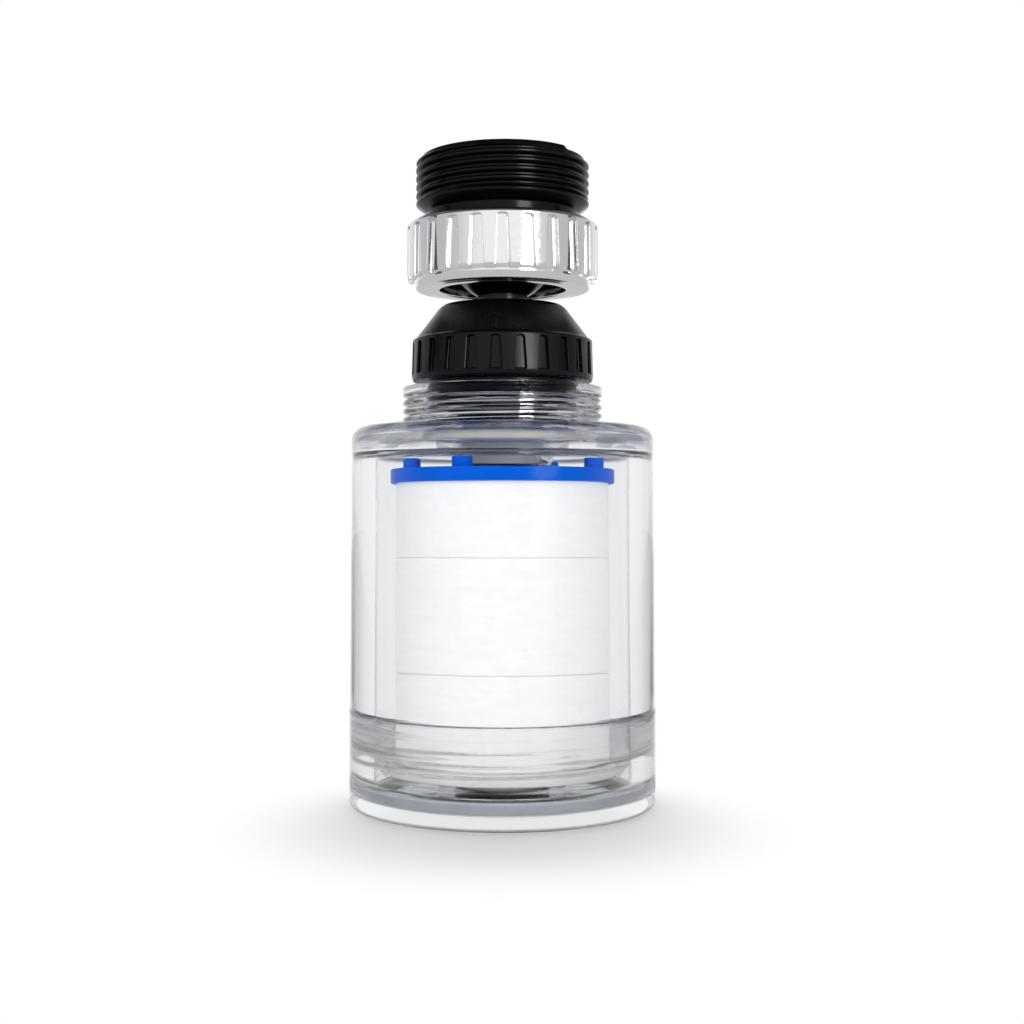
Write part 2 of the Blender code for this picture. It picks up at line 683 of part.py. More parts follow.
def build_inlet_adapter(parts):
    """Black adapter: threaded head for the tap, neck, and a spigot that cups the ball from above."""
    thread_high = adapter_top - ADAPTER_LEAD
    root_r = ADAPTER_THREAD_R - ADAPTER_THREAD_DEPTH
    groove_angle = math.degrees(math.asin((seal_groove_low - ball_z) / cup_r))
    profile = [(ADAPTER_RIM_R, adapter_top)]
    profile += thread_rings(ADAPTER_THREAD_R, root_r, thread_high, adapter_thread_foot, ADAPTER_TURNS)
    profile += [
        (ADAPTER_THREAD_R, adapter_thread_foot - EDGE),
        (ADAPTER_NECK_R, adapter_flange_foot),
        (ADAPTER_NECK_R, adapter_spigot_top),
        (adapter_spigot_r, adapter_spigot_top - EDGE),
        (adapter_spigot_r, adapter_foot),
        (cup_r, adapter_foot),
    ]
    profile += arc(0.0, ball_z, cup_r, 0, groove_angle, 3)
    profile += [
        (seal_groove_r, seal_groove_low),
        (seal_groove_r, seal_groove_high),
        (ADAPTER_PASSAGE_R, seal_groove_high),
        (ADAPTER_PASSAGE_R, adapter_floor),
        (ADAPTER_SOCKET_R, adapter_floor),
        (ADAPTER_SOCKET_R, adapter_top - EDGE),
        (ADAPTER_SOCKET_R + EDGE, adapter_top),
    ]
    return turned("inlet_adapter", profile, MIDDLE_STEPS, parts, black_plastic("inlet_adapter_black"))


def build_inlet_screen(parts, tools):
    """Steel strainer disc on the floor of the adapter's socket."""
    high = screen_foot + SCREEN_THICKNESS
    profile = [(0.0, high), (screen_r, high), (screen_r, screen_foot), (0.0, screen_foot)]
    finish = new_finish("inlet_screen_steel", (0.55, 0.55, 0.56), 0.3, metallic=1.0)
    screen = turned("inlet_screen", profile, NARROW_STEPS, parts, finish)
    bm = bmesh.new()
    for column in range(-SCREEN_RINGS, SCREEN_RINGS + 1):
        for row in range(-SCREEN_RINGS, SCREEN_RINGS + 1):
            if abs(column + row) > SCREEN_RINGS:
                continue
            across = SCREEN_PITCH * (column + row / 2)
            along = SCREEN_PITCH * row * math.sqrt(3) / 2
            bmesh.ops.create_cone(
                bm,
                cap_ends=True,
                segments=SMALL_ROUND_STEPS,
                radius1=SCREEN_HOLE_R,
                radius2=SCREEN_HOLE_R,
                depth=SCREEN_THICKNESS + 2 * CUT_MARGIN,
                matrix=Matrix.Translation((across, along, (screen_foot + high) / 2)),
            )
    boolean(screen, tool_object("screen_holes", bm, tools), "DIFFERENCE")
    return screen


def build_inlet_washer(parts):
    """Rubber washer that seals against the tap, on top of the screen."""
    high = inlet_washer_foot + INLET_WASHER_THICKNESS
    ring = plain_ring(INLET_WASHER_HOLE_R, screen_r, inlet_washer_foot, high)
    return turned("inlet_washer", ring, MIDDLE_STEPS, parts, rubber("inlet_washer_rubber", (0.03, 0.03, 0.03)))


def hang_on_pivot(pieces, parts):
    """Parent the swivel head to an empty at the ball's centre, which its tilt turns about."""
    pivot = bpy.data.objects.new("swivel_pivot", None)
    pivot.location.z = ball_z
    pivot.empty_display_size = BALL_R
    parts.objects.link(pivot)
    for piece in pieces:
        piece.parent = pivot
        piece.location.z -= ball_z


def build_filter():
    """Build every piece of the filter."""
    clear_scene()
    parts = new_collection("faucet_mount_water_filter")
    tools = new_collection("cutters")
    build_base_cap(parts)
    build_base_seal(parts)
    build_housing(parts)
    build_neck_washer(parts)
    build_cartridge_bottom_cap(parts)
    build_outlet_seal(parts)
    build_core_tube(parts, tools)
    build_cotton(parts)
    build_cartridge_top_cap(parts, tools)
    build_coupling_collar(parts, tools)
    build_stem_seal(parts)
    build_ball_stem(parts)
    head = [
        build_ball_seat(parts),
        build_ball_seal(parts),
        build_swivel_nut(parts, tools),
        build_inlet_adapter(parts),
        build_inlet_screen(parts, tools),
        build_inlet_washer(parts),
    ]
    hang_on_pivot(head, parts)


build_filter()
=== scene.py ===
# %% [markdown]
# # A clear tap filter, dressed for its photograph
#
# The filter stands on its base cap: a clear housing round a cotton cartridge, a black coupling
# collar, a bright swivel nut and a black threaded adapter on top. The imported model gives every
# piece its place, and this lesson gives each one a fine shape and a finish. Only the hidden core
# tube keeps its plain shape.

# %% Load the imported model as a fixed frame
import json
import math

import bmesh
import bpy
import numpy as np
from mathutils import Matrix, Vector, noise


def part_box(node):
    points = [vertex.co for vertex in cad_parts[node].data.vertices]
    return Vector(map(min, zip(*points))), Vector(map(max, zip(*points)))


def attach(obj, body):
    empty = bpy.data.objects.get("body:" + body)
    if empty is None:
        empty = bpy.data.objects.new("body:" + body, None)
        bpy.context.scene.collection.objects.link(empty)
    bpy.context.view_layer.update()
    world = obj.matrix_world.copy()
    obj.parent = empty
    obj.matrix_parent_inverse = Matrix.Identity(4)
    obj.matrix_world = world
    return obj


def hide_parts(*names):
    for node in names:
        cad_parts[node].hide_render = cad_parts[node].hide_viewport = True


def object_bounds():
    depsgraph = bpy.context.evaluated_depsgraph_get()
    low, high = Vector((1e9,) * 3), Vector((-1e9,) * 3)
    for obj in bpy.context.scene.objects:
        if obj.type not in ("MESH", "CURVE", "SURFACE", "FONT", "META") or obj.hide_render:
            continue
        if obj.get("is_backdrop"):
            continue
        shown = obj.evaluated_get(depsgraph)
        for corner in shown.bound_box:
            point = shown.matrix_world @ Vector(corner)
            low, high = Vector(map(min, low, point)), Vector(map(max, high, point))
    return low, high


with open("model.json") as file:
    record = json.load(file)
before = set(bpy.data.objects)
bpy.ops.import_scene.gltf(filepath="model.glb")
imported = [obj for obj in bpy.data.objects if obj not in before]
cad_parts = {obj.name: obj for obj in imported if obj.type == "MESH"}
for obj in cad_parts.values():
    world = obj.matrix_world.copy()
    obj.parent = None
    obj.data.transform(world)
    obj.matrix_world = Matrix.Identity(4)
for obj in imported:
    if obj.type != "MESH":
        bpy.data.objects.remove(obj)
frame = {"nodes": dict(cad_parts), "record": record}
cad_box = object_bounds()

MM = 0.001
print("nodes in the frame:", len(frame["nodes"]))


# %% [markdown]
# ## Reading sizes from the frame
#
# A turned piece is known by three numbers: its outer radius and the levels of its two ends.
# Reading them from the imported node, and not typing them again, keeps every fine piece exactly
# where its plain solid stands.

# %% The span of a node
def span(node):
    """(outer radius, lowest level, highest level) of a turned node."""
    low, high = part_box(node)
    return high[0], low[2], high[2]


housing_r, housing_foot, neck_top = span("housing")
base_r, _, base_top = span("base_cap")
nut_r, nut_foot, nut_top = span("swivel_nut")
collar_r, collar_foot, collar_top = span("coupling_collar")
adapter_r, adapter_foot, adapter_top = span("inlet_adapter")
print(f"filter is {2000 * base_r:.1f} mm across and {1000 * adapter_top:.1f} mm tall")


# %% [markdown]
# ## Turned skins
#
# Nearly every piece of this object is round, so one helper does most of the modelling. It lays
# rings of points down the piece and joins neighbours with faces. A Screw modifier could turn the
# plain stretches, but it can't carry a thread that rises as it goes round, or grip flutes that
# widen downward, so the rings are worked out here: a ring may change its radius, its level and
# the angles of its points from column to column.

# %% A skin made of rings
WELD = 0.0000008    # points closer than this, in metres, are one point


class Skin:
    """Rings of points round the axis, joined into one closed skin."""

    def __init__(self, angles):
        self.angles = angles
        self.points = []
        self.faces = []

    def grid(self, radius, level, angles=None, seam=0):
        """Join rows of points. seam is how many rows the last column has climbed on the first."""
        angles = self.angles if angles is None else angles
        radius, level, angles = np.broadcast_arrays(radius, level, angles)
        rows, columns = radius.shape
        first = len(self.points)
        xyz = np.stack([radius * np.cos(angles), radius * np.sin(angles), level], axis=-1)
        self.points += [tuple(point) for point in xyz.reshape(-1, 3)]
        for column in range(columns):
            wrap = column == columns - 1
            beside = 0 if wrap else column + 1
            for row in range(rows - 1):
                upper = max(row - seam, 0) if wrap else row
                lower = max(row + 1 - seam, 0) if wrap else row + 1
                corners = (
                    row * columns + column,
                    (row + 1) * columns + column,
                    lower * columns + beside,
                    upper * columns + beside,
                )
                self.faces.append([first + corner for corner in corners])

    def profile(self, points, angles=None):
        """Turn a plain run of (radius, level) points."""
        values = np.array(points, dtype=float)
        self.grid(values[:, :1], values[:, 1:], angles)

    def bridge(self, radius, start, start_angles, end, end_angles):
        """Join two rings of one radius whose columns stand at different angles."""
        levels = np.array([[start], [end]])
        self.grid(np.full((2, 1), radius), levels, np.array([start_angles, end_angles]))

    def build(self, name, sharp=32.0):
        """Weld the rings and return the piece as an object."""
        mesh = bpy.data.meshes.new(name)
        mesh.from_pydata(self.points, [], self.faces)
        bm = bmesh.new()
        bm.from_mesh(mesh)
        bmesh.ops.remove_doubles(bm, verts=bm.verts, dist=WELD)
        bmesh.ops.recalc_face_normals(bm, faces=bm.faces)
        open_edges = sum(1 for edge in bm.edges if not edge.is_manifold)
        bm.to_mesh(mesh)
        bm.free()
        mesh.shade_smooth()
        mesh.set_sharp_from_angle(angle=math.radians(sharp))
        piece = bpy.data.objects.new(name, mesh)
        bpy.context.scene.collection.objects.link(piece)
        print(f"{name}: {len(mesh.polygons)} faces, {open_edges} open edges")
        return piece


def even(columns):
    """Evenly spaced angles round the axis."""
    return np.arange(columns) * math.tau / columns


WIDE = even(216)
MIDDLE = even(144)
print("columns of a wide skin:", len(WIDE), "and of a middling one:", len(MIDDLE))


# %% [markdown]
# ## Soft corners
#
# Nothing that comes out of a mould has a perfectly sharp edge, and on clear or shiny plastic the
# thin highlight along an edge is half of the look. A Bevel modifier would do it after the mesh is
# made. Here the corner is rounded in the profile itself, before it is turned, so the mesh stays
# an even grid.

# %% Round the corners of a profile
def soften(points, radius, steps=3):
    """Replace each inner corner of a run of points with a short curve."""
    points = [Vector(point) for point in points]
    rounded = [tuple(points[0])]
    for before, corner, after in zip(points, points[1:], points[2:]):
        room = min((before - corner).length, (after - corner).length) * 0.48
        reach = min(radius, room)
        start = corner + (before - corner).normalized() * reach
        end = corner + (after - corner).normalized() * reach
        for step in range(steps + 1):
            share = step / steps
            along = start.lerp(corner, share).lerp(corner.lerp(end, share), share)
            rounded.append(tuple(along))
    rounded.append(tuple(points[-1]))
    return rounded


def arc(centre_r, centre_z, radius, start, end, steps):
    """Points along an arc of a profile, in degrees from outward towards up."""
    turns = np.radians(np.linspace(start, end, steps + 1))
    return [(centre_r + radius * math.cos(turn), centre_z + radius * math.sin(turn)) for turn in turns]


square = [(1.0, 0.0), (1.0, 1.0), (0.0, 1.0)]
print("a square corner of 3 points is softened to", len(soften(square, 0.2)))


# %% [markdown]
# ## Screw threads
#
# A thread is a tooth that climbs one pitch for each turn. The rows of the grid climb with it, so
# every row keeps its place on the tooth all the way round and the crest stays crisp. After a full
# turn a row has risen by one pitch, and meets the row that started one pitch above it: that is
# the seam. The tooth fades in and out over the last part of a turn, as a moulded thread does.

# %% Add a thread to a skin
THREAD_ROWS = 12    # rows of faces for each pitch
ROUND_FLANK = (0.0, 1.0)


def smooth_step(value, low, high):
    """0 below low, 1 above high, and a soft S between."""
    share = np.clip((value - low) / (high - low), 0.0, 1.0)
    return share * share * (3 - 2 * share)


def add_thread(skin, root, depth, high, low, pitch, start, fade=0.7, flank=(0.15, 0.8)):
    """Wind a thread from high down to low. depth is outward, or inward where negative.

    start is a level at which the groove between two teeth crosses the +X side, so that two threads
    with starts half a pitch apart lie in each other's grooves.
    """
    turns = (high - low) / pitch
    count = math.ceil((turns + 1) * THREAD_ROWS) + 1
    row = np.arange(count)[:, None]
    climb = skin.angles[None, :] / math.tau
    level = high + pitch * climb - pitch * row / THREAD_ROWS
    place = ((high - start) / pitch - row / THREAD_ROWS) % 1.0
    tooth = smooth_step(1 - np.abs(2 * place - 1), *flank)
    level = np.clip(level, low, high)
    reach = fade * pitch
    ends = smooth_step(high - level, 0.0, reach) * smooth_step(level - low, 0.0, reach)
    skin.grid(root + depth * tooth * ends, level, seam=THREAD_ROWS)


print("rows of faces for each pitch of a thread:", THREAD_ROWS)


# %% [markdown]
# ## Grip flutes
#
# The nut and the collar are gripped by a ring of flutes with flat lands between them. Each flute
# is wider below than above. The columns of the grid follow the flute's slanting edges: some stay
# on its floor, some crowd round its edge to make a soft corner, and some stay on the land.

# %% Columns that follow a ring of flutes
# Each column is (share of the flute's half width, share of the edge's softness, share of half a
# period, height from floor to land).
HALF_FLUTE = [
    (0.6, -0.6, 0.0, 0.0),
    (1.0, -1.0, 0.0, 0.0),
    (1.0, -0.4, 0.0, 0.10),
    (1.0, 0.0, 0.0, 0.35),
    (1.0, 0.0, 0.0, 0.70),
    (1.0, 0.4, 0.0, 0.92),
    (1.0, 1.0, 0.0, 1.0),
    (0.55, 0.55, 0.45, 1.0),
]


class Fluting:
    """Where the columns of a ring of flutes lie, and how high each one stands."""

    def __init__(self, count, radius, softness, first=0.0):
        self.radius = radius
        self.softness = softness
        mirrored = [(-1, *column) for column in reversed(HALF_FLUTE)]
        centre = [(1, 0.0, 0.0, 0.0, 0.0)]
        middle_of_land = [(1, 0.0, 0.0, 1.0, 1.0)]
        period = mirrored + centre + [(1, *column) for column in HALF_FLUTE] + middle_of_land
        table = np.array(period * count)
        self.side, self.by_width, self.by_edge, self.by_period, self.height = table.T
        self.half_period = math.pi / count
        self.centre = first + np.repeat(np.arange(count) * math.tau / count, len(period))

    def angles(self, half_width):
        """Angles of the columns where the flutes have that half width, in metres."""
        across = self.by_width * half_width + self.by_edge * self.softness
        return self.centre + self.side * (across / self.radius + self.by_period * self.half_period)


def add_flutes(skin, fluting, land, depth, high, low, width_high, width_low, closed_below):
    """Rows down a fluted stretch from high to low. land gives the lands' radius at a level."""
    soft = fluting.softness
    corner = width_high / 4
    ends = [(1.0, 0.0), (0.4, 0.08), (0.0, 0.3), (0.0, 0.65), (-0.4, 0.92), (-1.0, 1.0)]
    rows = [(high + soft * place, share) for place, share in ends]
    rows += [(high - soft - corner * share, 1.0) for share in (0.25, 0.55, 1.0)]
    rows += [(level, 1.0) for level in np.linspace(high - 2 * corner, low + 2 * corner, 5)]
    if closed_below:
        rows += [(low - soft * place, share) for place, share in reversed(ends)]
    else:
        rows.append((low, 1.0))
    levels, angles, radii = [], [], []
    for level, opening in rows:
        along = np.clip((high - level) / (high - low), 0.0, 1.0)
        half_width = (width_high + (width_low - width_high) * along) / 2
        above = min(max(level - (high - corner), 0.0) / corner, 1.0)
        half_width -= corner * (1 - math.sqrt(1 - above * above))
        levels.append(np.full(len(fluting.side), level))
        angles.append(fluting.angles(half_width))
        radii.append(land(level) - depth * opening * (1 - fluting.height))
    skin.grid(np.array(radii), np.array(levels), np.array(angles))
    return angles[0], angles[-1], radii[-1]


print("columns for each flute and its land:", 2 * len(HALF_FLUTE) + 2)


# %% [markdown]
# ## Handing a piece over
#
# Every piece here takes the place of one plain solid. It rides on the same body, so it moves with
# the same joint, and it wears the finish that it is handed.

# %% Put a fine piece in a node's place
record = frame["record"]
body_of = {node: body for body, nodes in record["behaviour"]["bodies"].items() for node in nodes}


def stand_for(piece, node, finish):
    """Give the piece its finish and let it replace the node."""
    piece.data.materials.clear()
    piece.data.materials.append(finish)
    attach(piece, body_of[node])
    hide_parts(node)
    return piece


print("bodies that pieces ride on:", ", ".join(sorted(set(body_of.values()))))


# %% [markdown]
# ## Writing shader maths
#
# A material is a sum of patterns, and sums are easiest to read as sums. This small class wraps a
# node's output so that + - and * add the nodes. Values use Math nodes, while colours and vectors
# go through Mix and Vector Math, because a Math node would turn a colour grey.

# %% Outputs that can be added and multiplied
class Output:
    """A node's output that arithmetic can be written on."""

    def __init__(self, finish, socket):
        self.finish = finish
        self.socket = socket

    def combine(self, operation, other, swapped=False):
        first, second = (other, self) if swapped else (self, other)
        kinds = {item.socket.type for item in (self, other) if isinstance(item, Output)}
        if "RGBA" in kinds:
            settings = {"data_type": "RGBA", "blend_type": operation, "clamp_result": False}
            inputs = {"Factor": 1.0, 6: first, 7: second}
            return self.finish.node("ShaderNodeMix", settings, inputs, output=2)
        kind = "ShaderNodeVectorMath" if "VECTOR" in kinds else "ShaderNodeMath"
        return self.finish.node(kind, {"operation": operation}, {0: first, 1: second})

    def __add__(self, other):
        return self.combine("ADD", other)

    def __radd__(self, other):
        return self.combine("ADD", other, swapped=True)

    def __sub__(self, other):
        return self.combine("SUBTRACT", other)

    def __rsub__(self, other):
        return self.combine("SUBTRACT", other, swapped=True)

    def __mul__(self, other):
        return self.combine("MULTIPLY", other)

    def __rmul__(self, other):
        return self.combine("MULTIPLY", other, swapped=True)


print("arithmetic that an output takes: + - *")


# %% [markdown]
# ## One way to add every other node
#
# Noise, bumps and the shader itself all come from one method, node. It makes the node, sets what
# must be set first, such as how a colour is mixed, then fills or links the inputs. The short
# methods after it only give the common ones a name.

# %% A finish and its nodes
class Finish:
    """A material or a world, built node by node."""

    def __init__(self, owner, coordinates="Object"):
        self.owner = owner
        owner.use_nodes = True
        self.tree = owner.node_tree
        self.tree.nodes.clear()
        self.place = self.node("ShaderNodeTexCoord", output=coordinates)

    def node(self, kind, settings=None, inputs=None, output=0):
        """Add a node: its settings, then its inputs, and return one of its outputs."""
        made = self.tree.nodes.new(kind)
        for name, value in (settings or {}).items():
            setattr(made, name, value)
        for name, value in (inputs or {}).items():
            if isinstance(value, Output):
                self.tree.links.new(value.socket, made.inputs[name])
            else:
                self.fill(made.inputs[name], value)
        return Output(self, made.outputs[output]) if made.outputs else None

    @staticmethod
    def fill(socket, value):
        """Set a socket's own value, a grey from one number where it takes a colour."""
        if socket.type == "RGBA":
            colour = (value,) * 3 if isinstance(value, (int, float)) else value
            socket.default_value = (*colour, 1.0)
        elif socket.type == "VECTOR" and isinstance(value, (int, float)):
            socket.default_value = (value,) * 3
        else:
            socket.default_value = value

    def noise(self, scale, detail=3.0, stretch=(1.0, 1.0, 1.0), roughness=0.5):
        """Noise from 0 to 1 whose scale is in features for each metre."""
        place = self.place * tuple(stretch)
        inputs = {"Vector": place, "Scale": scale, "Detail": detail, "Roughness": roughness}
        return self.node("ShaderNodeTexNoise", {"normalize": True}, inputs)

    def blend(self, factor, low, high):
        """Colour between low and high."""
        settings = {"data_type": "RGBA", "blend_type": "MIX"}
        return self.node("ShaderNodeMix", settings, {"Factor": factor, 6: low, 7: high}, output=2)

    def length(self, vector):
        """How long a vector is."""
        return self.node("ShaderNodeVectorMath", {"operation": "LENGTH"}, {0: vector}, output="Value")

    def window(self, value, low, high, soft):
        """1 between low and high, 0 outside, with an edge that is soft to either side."""
        rise = self.remap(value, low - soft, low + soft)
        return rise * self.remap(value, high - soft, high + soft, 1.0, 0.0)

    def bump(self, height, distance, strength=1.0):
        """Normal of a surface raised by height times a distance in metres."""
        inputs = {"Height": height, "Distance": distance, "Strength": strength}
        return self.node("ShaderNodeBump", None, inputs)

    def remap(self, value, low, high, to_low=0.0, to_high=1.0):
        """Follow a soft S from to_low, at low, to to_high, at high."""
        names = ("Value", "From Min", "From Max", "To Min", "To Max")
        inputs = dict(zip(names, (value, low, high, to_low, to_high)))
        return self.node("ShaderNodeMapRange", {"interpolation_type": "SMOOTHSTEP"}, inputs)

    def surface(self, **inputs):
        """A Principled shader. An input's name has _ for each space."""
        named = {name.replace("_", " "): value for name, value in inputs.items()}
        return self.node("ShaderNodeBsdfPrincipled", None, named)

    def ray(self, kind):
        """1 for the rays of one kind, such as Is Camera Ray."""
        return self.node("ShaderNodeLightPath", output=kind)

    def mix(self, factor, first, second):
        """Shader that is first at 0 and second at 1."""
        return self.node("ShaderNodeMixShader", None, {0: factor, 1: first, 2: second})

    def split(self, vector):
        """The three parts of a vector, each as an output."""
        made = self.tree.nodes.new("ShaderNodeSeparateXYZ")
        self.tree.links.new(vector.socket, made.inputs[0])
        return [Output(self, made.outputs[name]) for name in "XYZ"]

    def background(self, colour, strength=1.0):
        """Light of the room, from a colour or from a grey number."""
        if isinstance(colour, Output) and colour.socket.type == "VALUE":
            colour = self.node("ShaderNodeCombineColor", None, {0: colour, 1: colour, 2: colour})
        return self.node("ShaderNodeBackground", None, {"Color": colour, "Strength": strength})

    def done(self, shader):
        """Send a shader to the surface and return the material."""
        self.node("ShaderNodeOutputMaterial", None, {"Surface": shader})
        return self.owner


def new_finish(name):
    """Start a material."""
    print("finish:", name)
    return Finish(bpy.data.materials.new(name))


# %% [markdown]
# ## The clear plastic
#
# Styrene is as clear as window glass but bends light a little more, and its moulded surface is
# never perfectly flat: broad faint ripples make the background swim. A plain glass shader would do
# for the wall alone, but not for the thick places. The shoulder, the joint line and the rolled
# foot look grey-blue, because little light finds its way through them, and that shade is painted
# into the plastic's colour. So the plastic is written with bands, each a range of levels with its
# own tint, haze and share of light that goes straight on. Layer Weight tells how far the surface
# turns away, and works from every side: the edges are painted darker and bluer, partly the
# plastic's own tint along a longer path and partly painted shade.

# %% Levels and colours of the clear plastic
SHOULDER = neck_top - 5.5 * MM
MALE_ROOT = base_r - 2.5 * MM   # root of the housing's male thread, inside the base cap
CLEAR = (0.985, 0.99, 0.995)
# painted shade at the wall's edges, partly also the plastic's own tint along a longer path
CLEAR_EDGE_SHADE = (0.90, 0.92, 0.95)
# painted shade: the dark swirls of the thick shoulder
CLEAR_SHOULDER_SHADE = (0.28, 0.33, 0.43)
# painted shade: the dark line of the rolled foot and of the joint
CLEAR_RIM_SHADE = (0.30, 0.36, 0.48)
CLEAR_FOOT = (0.97, 0.98, 0.99)
CLEAR_SEAL = (0.60, 0.62, 0.65)
BAND_EDGE = 0.15 * MM           # how soft the edge of a band is
STYRENE_IOR = 1.55
print(f"the shoulder lies at {1000 * SHOULDER:.1f} mm, and styrene bends light by {STYRENE_IOR}")


# %% [markdown]
# ## Bands of clear plastic
#
# Three bands follow the foot upward: the roll, painted with a dark rim shade, the clear edge above
# it, and the ring where the grey seal shows. One lies along the joint, painted with the same rim
# shade, and one is the shoulder, painted with dark shade. The swirls of painted shade in a band
# come from a noise whose place is bent by another noise, which draws them out like syrup.

# %% One band of levels
class Band:
    """A range of levels in which the clear plastic is painted another colour, mostly a shade."""

    def __init__(self, low, high, tint, in_front, lightest, frost, straight):
        self.low = low
        self.high = high
        self.tint = tint            # colour that it turns to
        self.in_front = in_front    # share of that colour where the surface faces the eye
        self.lightest = lightest    # share of that colour in the lightest swirl
        self.frost = frost          # roughness added
        self.straight = straight    # share of light that goes straight on


foot_bands = [
    # the roll, painted with the dark rim shade
    Band(-1.0 * MM, 0.55 * MM, CLEAR_RIM_SHADE, 1.0, 0.7, 0.25, 0.2),
    Band(0.55 * MM, 2.2 * MM, CLEAR_FOOT, 1.0, 0.8, 0.04, 0.75),
    Band(2.2 * MM, 3.6 * MM, CLEAR_SEAL, 1.0, 0.9, 0.10, 0.0),
]
# painted shade along the joint line
joint_band = Band(base_top - 0.35 * MM, base_top + 1.0 * MM, CLEAR_RIM_SHADE, 0.1, 0.5, 0.0, 0.0)
# the shoulder is painted with swirls of dark shade
shoulder_band = Band(SHOULDER - 3.5 * MM, SHOULDER + 0.1 * MM, CLEAR_SHOULDER_SHADE, 0.0, 0.20, 0.0, 0.22)
print("bands of clear plastic:", len(foot_bands) + 2)


# %% [markdown]
# ## Light that goes straight on
#
# A path tracer that bends light at every tooth of two joined threads runs out of bounces, and what
# should be bright turns black. The photograph shows those threads as pale plastic with fine lines.
# So a share of the light passes straight through there, less of it along thin lines, and also
# through the flat underside and the wall's outline. Lamps have to reach the cotton inside, so
# shadow rays and the soft light of the room pass too, where a real wall would focus them.

# %% Where light goes straight on
JOINED_FROM = 3.2 * MM      # the joined threads begin to show at this level
JOINED_FULL = 4.0 * MM      # and show fully from this one
STRAIGHT_THREAD = 0.97      # through the joined threads
THREAD_LINES = 0.5          # how much of that a line takes away again
LINE_NOISE = 700.0          # features for each metre, up and down, of the noise behind the lines
STRAIGHT_FOOT = 0.85        # through the flat underside
STRAIGHT_EDGE = 0.7         # through the wall where it is seen along its surface
CLEAR_SHADE = 0.78          # what each skin lets through of a lamp's light


def straight_through_threads(finish, level, radius):
    """Share of light that passes straight through the joined threads."""
    joined = finish.remap(level, JOINED_FROM, JOINED_FULL)
    joined = joined * finish.remap(level, base_top - 0.4 * MM, base_top, 1.0, 0.0)
    threads = finish.remap(radius, MALE_ROOT - 0.6 * MM, MALE_ROOT - 0.3 * MM)
    threads = threads * finish.remap(radius, base_r - 1.0 * MM, base_r - 0.5 * MM, 1.0, 0.0)
    crests = finish.noise(LINE_NOISE, 1.5, stretch=(0.05, 0.05, 1.0))
    lines = finish.remap(crests, 0.50, 0.58, 0.0, THREAD_LINES)
    return joined * threads * (STRAIGHT_THREAD - lines)


def straight_through_foot(finish, level, radius):
    """Share of light that passes straight through the flat underside."""
    flat = finish.remap(level, 0.1 * MM, 0.2 * MM, 1.0, 0.0)
    return flat * finish.remap(radius, base_r - 1.2 * MM, base_r - 0.8 * MM, 1.0, 0.0) * STRAIGHT_FOOT


print(f"most light that goes straight on through the threads: {STRAIGHT_THREAD:.0%}")


# %% Clear plastic
def clear_plastic(name, ripple_scale, bands):
    """Clear styrene with its bands. ripple_scale is in ripples for each metre."""
    finish = new_finish(name)
    facing = finish.node("ShaderNodeLayerWeight", None, {"Blend": 0.5}, output="Facing")
    ripple = finish.noise(ripple_scale, 1.5, stretch=(1.0, 1.0, 0.35))
    marks = finish.noise(1400.0, 3.0, stretch=(1.0, 1.0, 0.2))
    # swirls of painted shade in the bands
    swirl = finish.node(
        "ShaderNodeTexNoise",
        {"normalize": True},
        {"Vector": finish.place * (1.0, 1.0, 3.2), "Scale": 110.0, "Detail": 1.5, "Distortion": 2.0},
    )
    level = finish.split(finish.place)[2]
    radius = finish.length(finish.place * (1.0, 1.0, 0.0))
    outline = finish.remap(facing, 0.72, 0.95) * finish.remap(level, 2.0 * MM, 4.0 * MM)
    # edges painted darker and bluer: partly the plastic's own tint, partly painted shade
    colour = finish.blend(finish.remap(facing, 0.45, 1.0), CLEAR, CLEAR_EDGE_SHADE)
    rough = finish.remap(marks, 0.5, 0.9, 0.0, 0.05)
    share = straight_through_threads(finish, level, radius) + straight_through_foot(finish, level, radius)
    for band in bands:
        inside = finish.window(level, band.low, band.high, BAND_EDGE)
        # how much of the band's tint, mostly painted shade, a place takes
        depth = finish.remap(swirl, 0.40, 0.58, band.lightest, 1.0)
        depth = depth * finish.remap(facing, 0.05, 0.28, band.in_front, 1.0)
        colour = finish.blend(inside * depth, colour, band.tint)
        rough = rough + inside * band.frost
        outline = outline * (1.0 - inside)
        share = share + inside * band.straight
    shader = finish.surface(
        Base_Color=colour,
        Roughness=rough,
        IOR=STYRENE_IOR,
        Transmission_Weight=1.0,
        Specular_Tint=(0.035, 0.035, 0.035),
        Normal=finish.bump(ripple, 0.05 * MM, 0.5),
    )
    through = finish.node("ShaderNodeBsdfTransparent")
    lamp_light = finish.ray("Is Shadow Ray")
    seen = (share + outline * STRAIGHT_EDGE) * (1.0 - lamp_light)
    straight_on = seen + lamp_light * CLEAR_SHADE + finish.ray("Is Diffuse Ray")
    capped = finish.node("ShaderNodeMath", {"operation": "MINIMUM"}, {0: straight_on, 1: 1.0})
    return finish.done(finish.mix(capped, shader, through))


housing_clear = clear_plastic("housing_clear", 70.0, [shoulder_band])
base_clear = clear_plastic("base_cap_clear", 90.0, [*foot_bands, joint_band])


# %% [markdown]
# ## The base cap
#
# The base cap is a low cup with a thread inside its wall and a short boss round the outlet. Its
# bottom edge is rolled, and that roll shows as a thin dark line against the table: the roll bends
# the shadow under the cap into view, and painted shade in the clear plastic makes the line even. A
# Boolean could cut a thread into a plain cup, but leaves a mesh of slivers. So the wall is turned as
# a profile, and the thread is wound on where the profile stops.

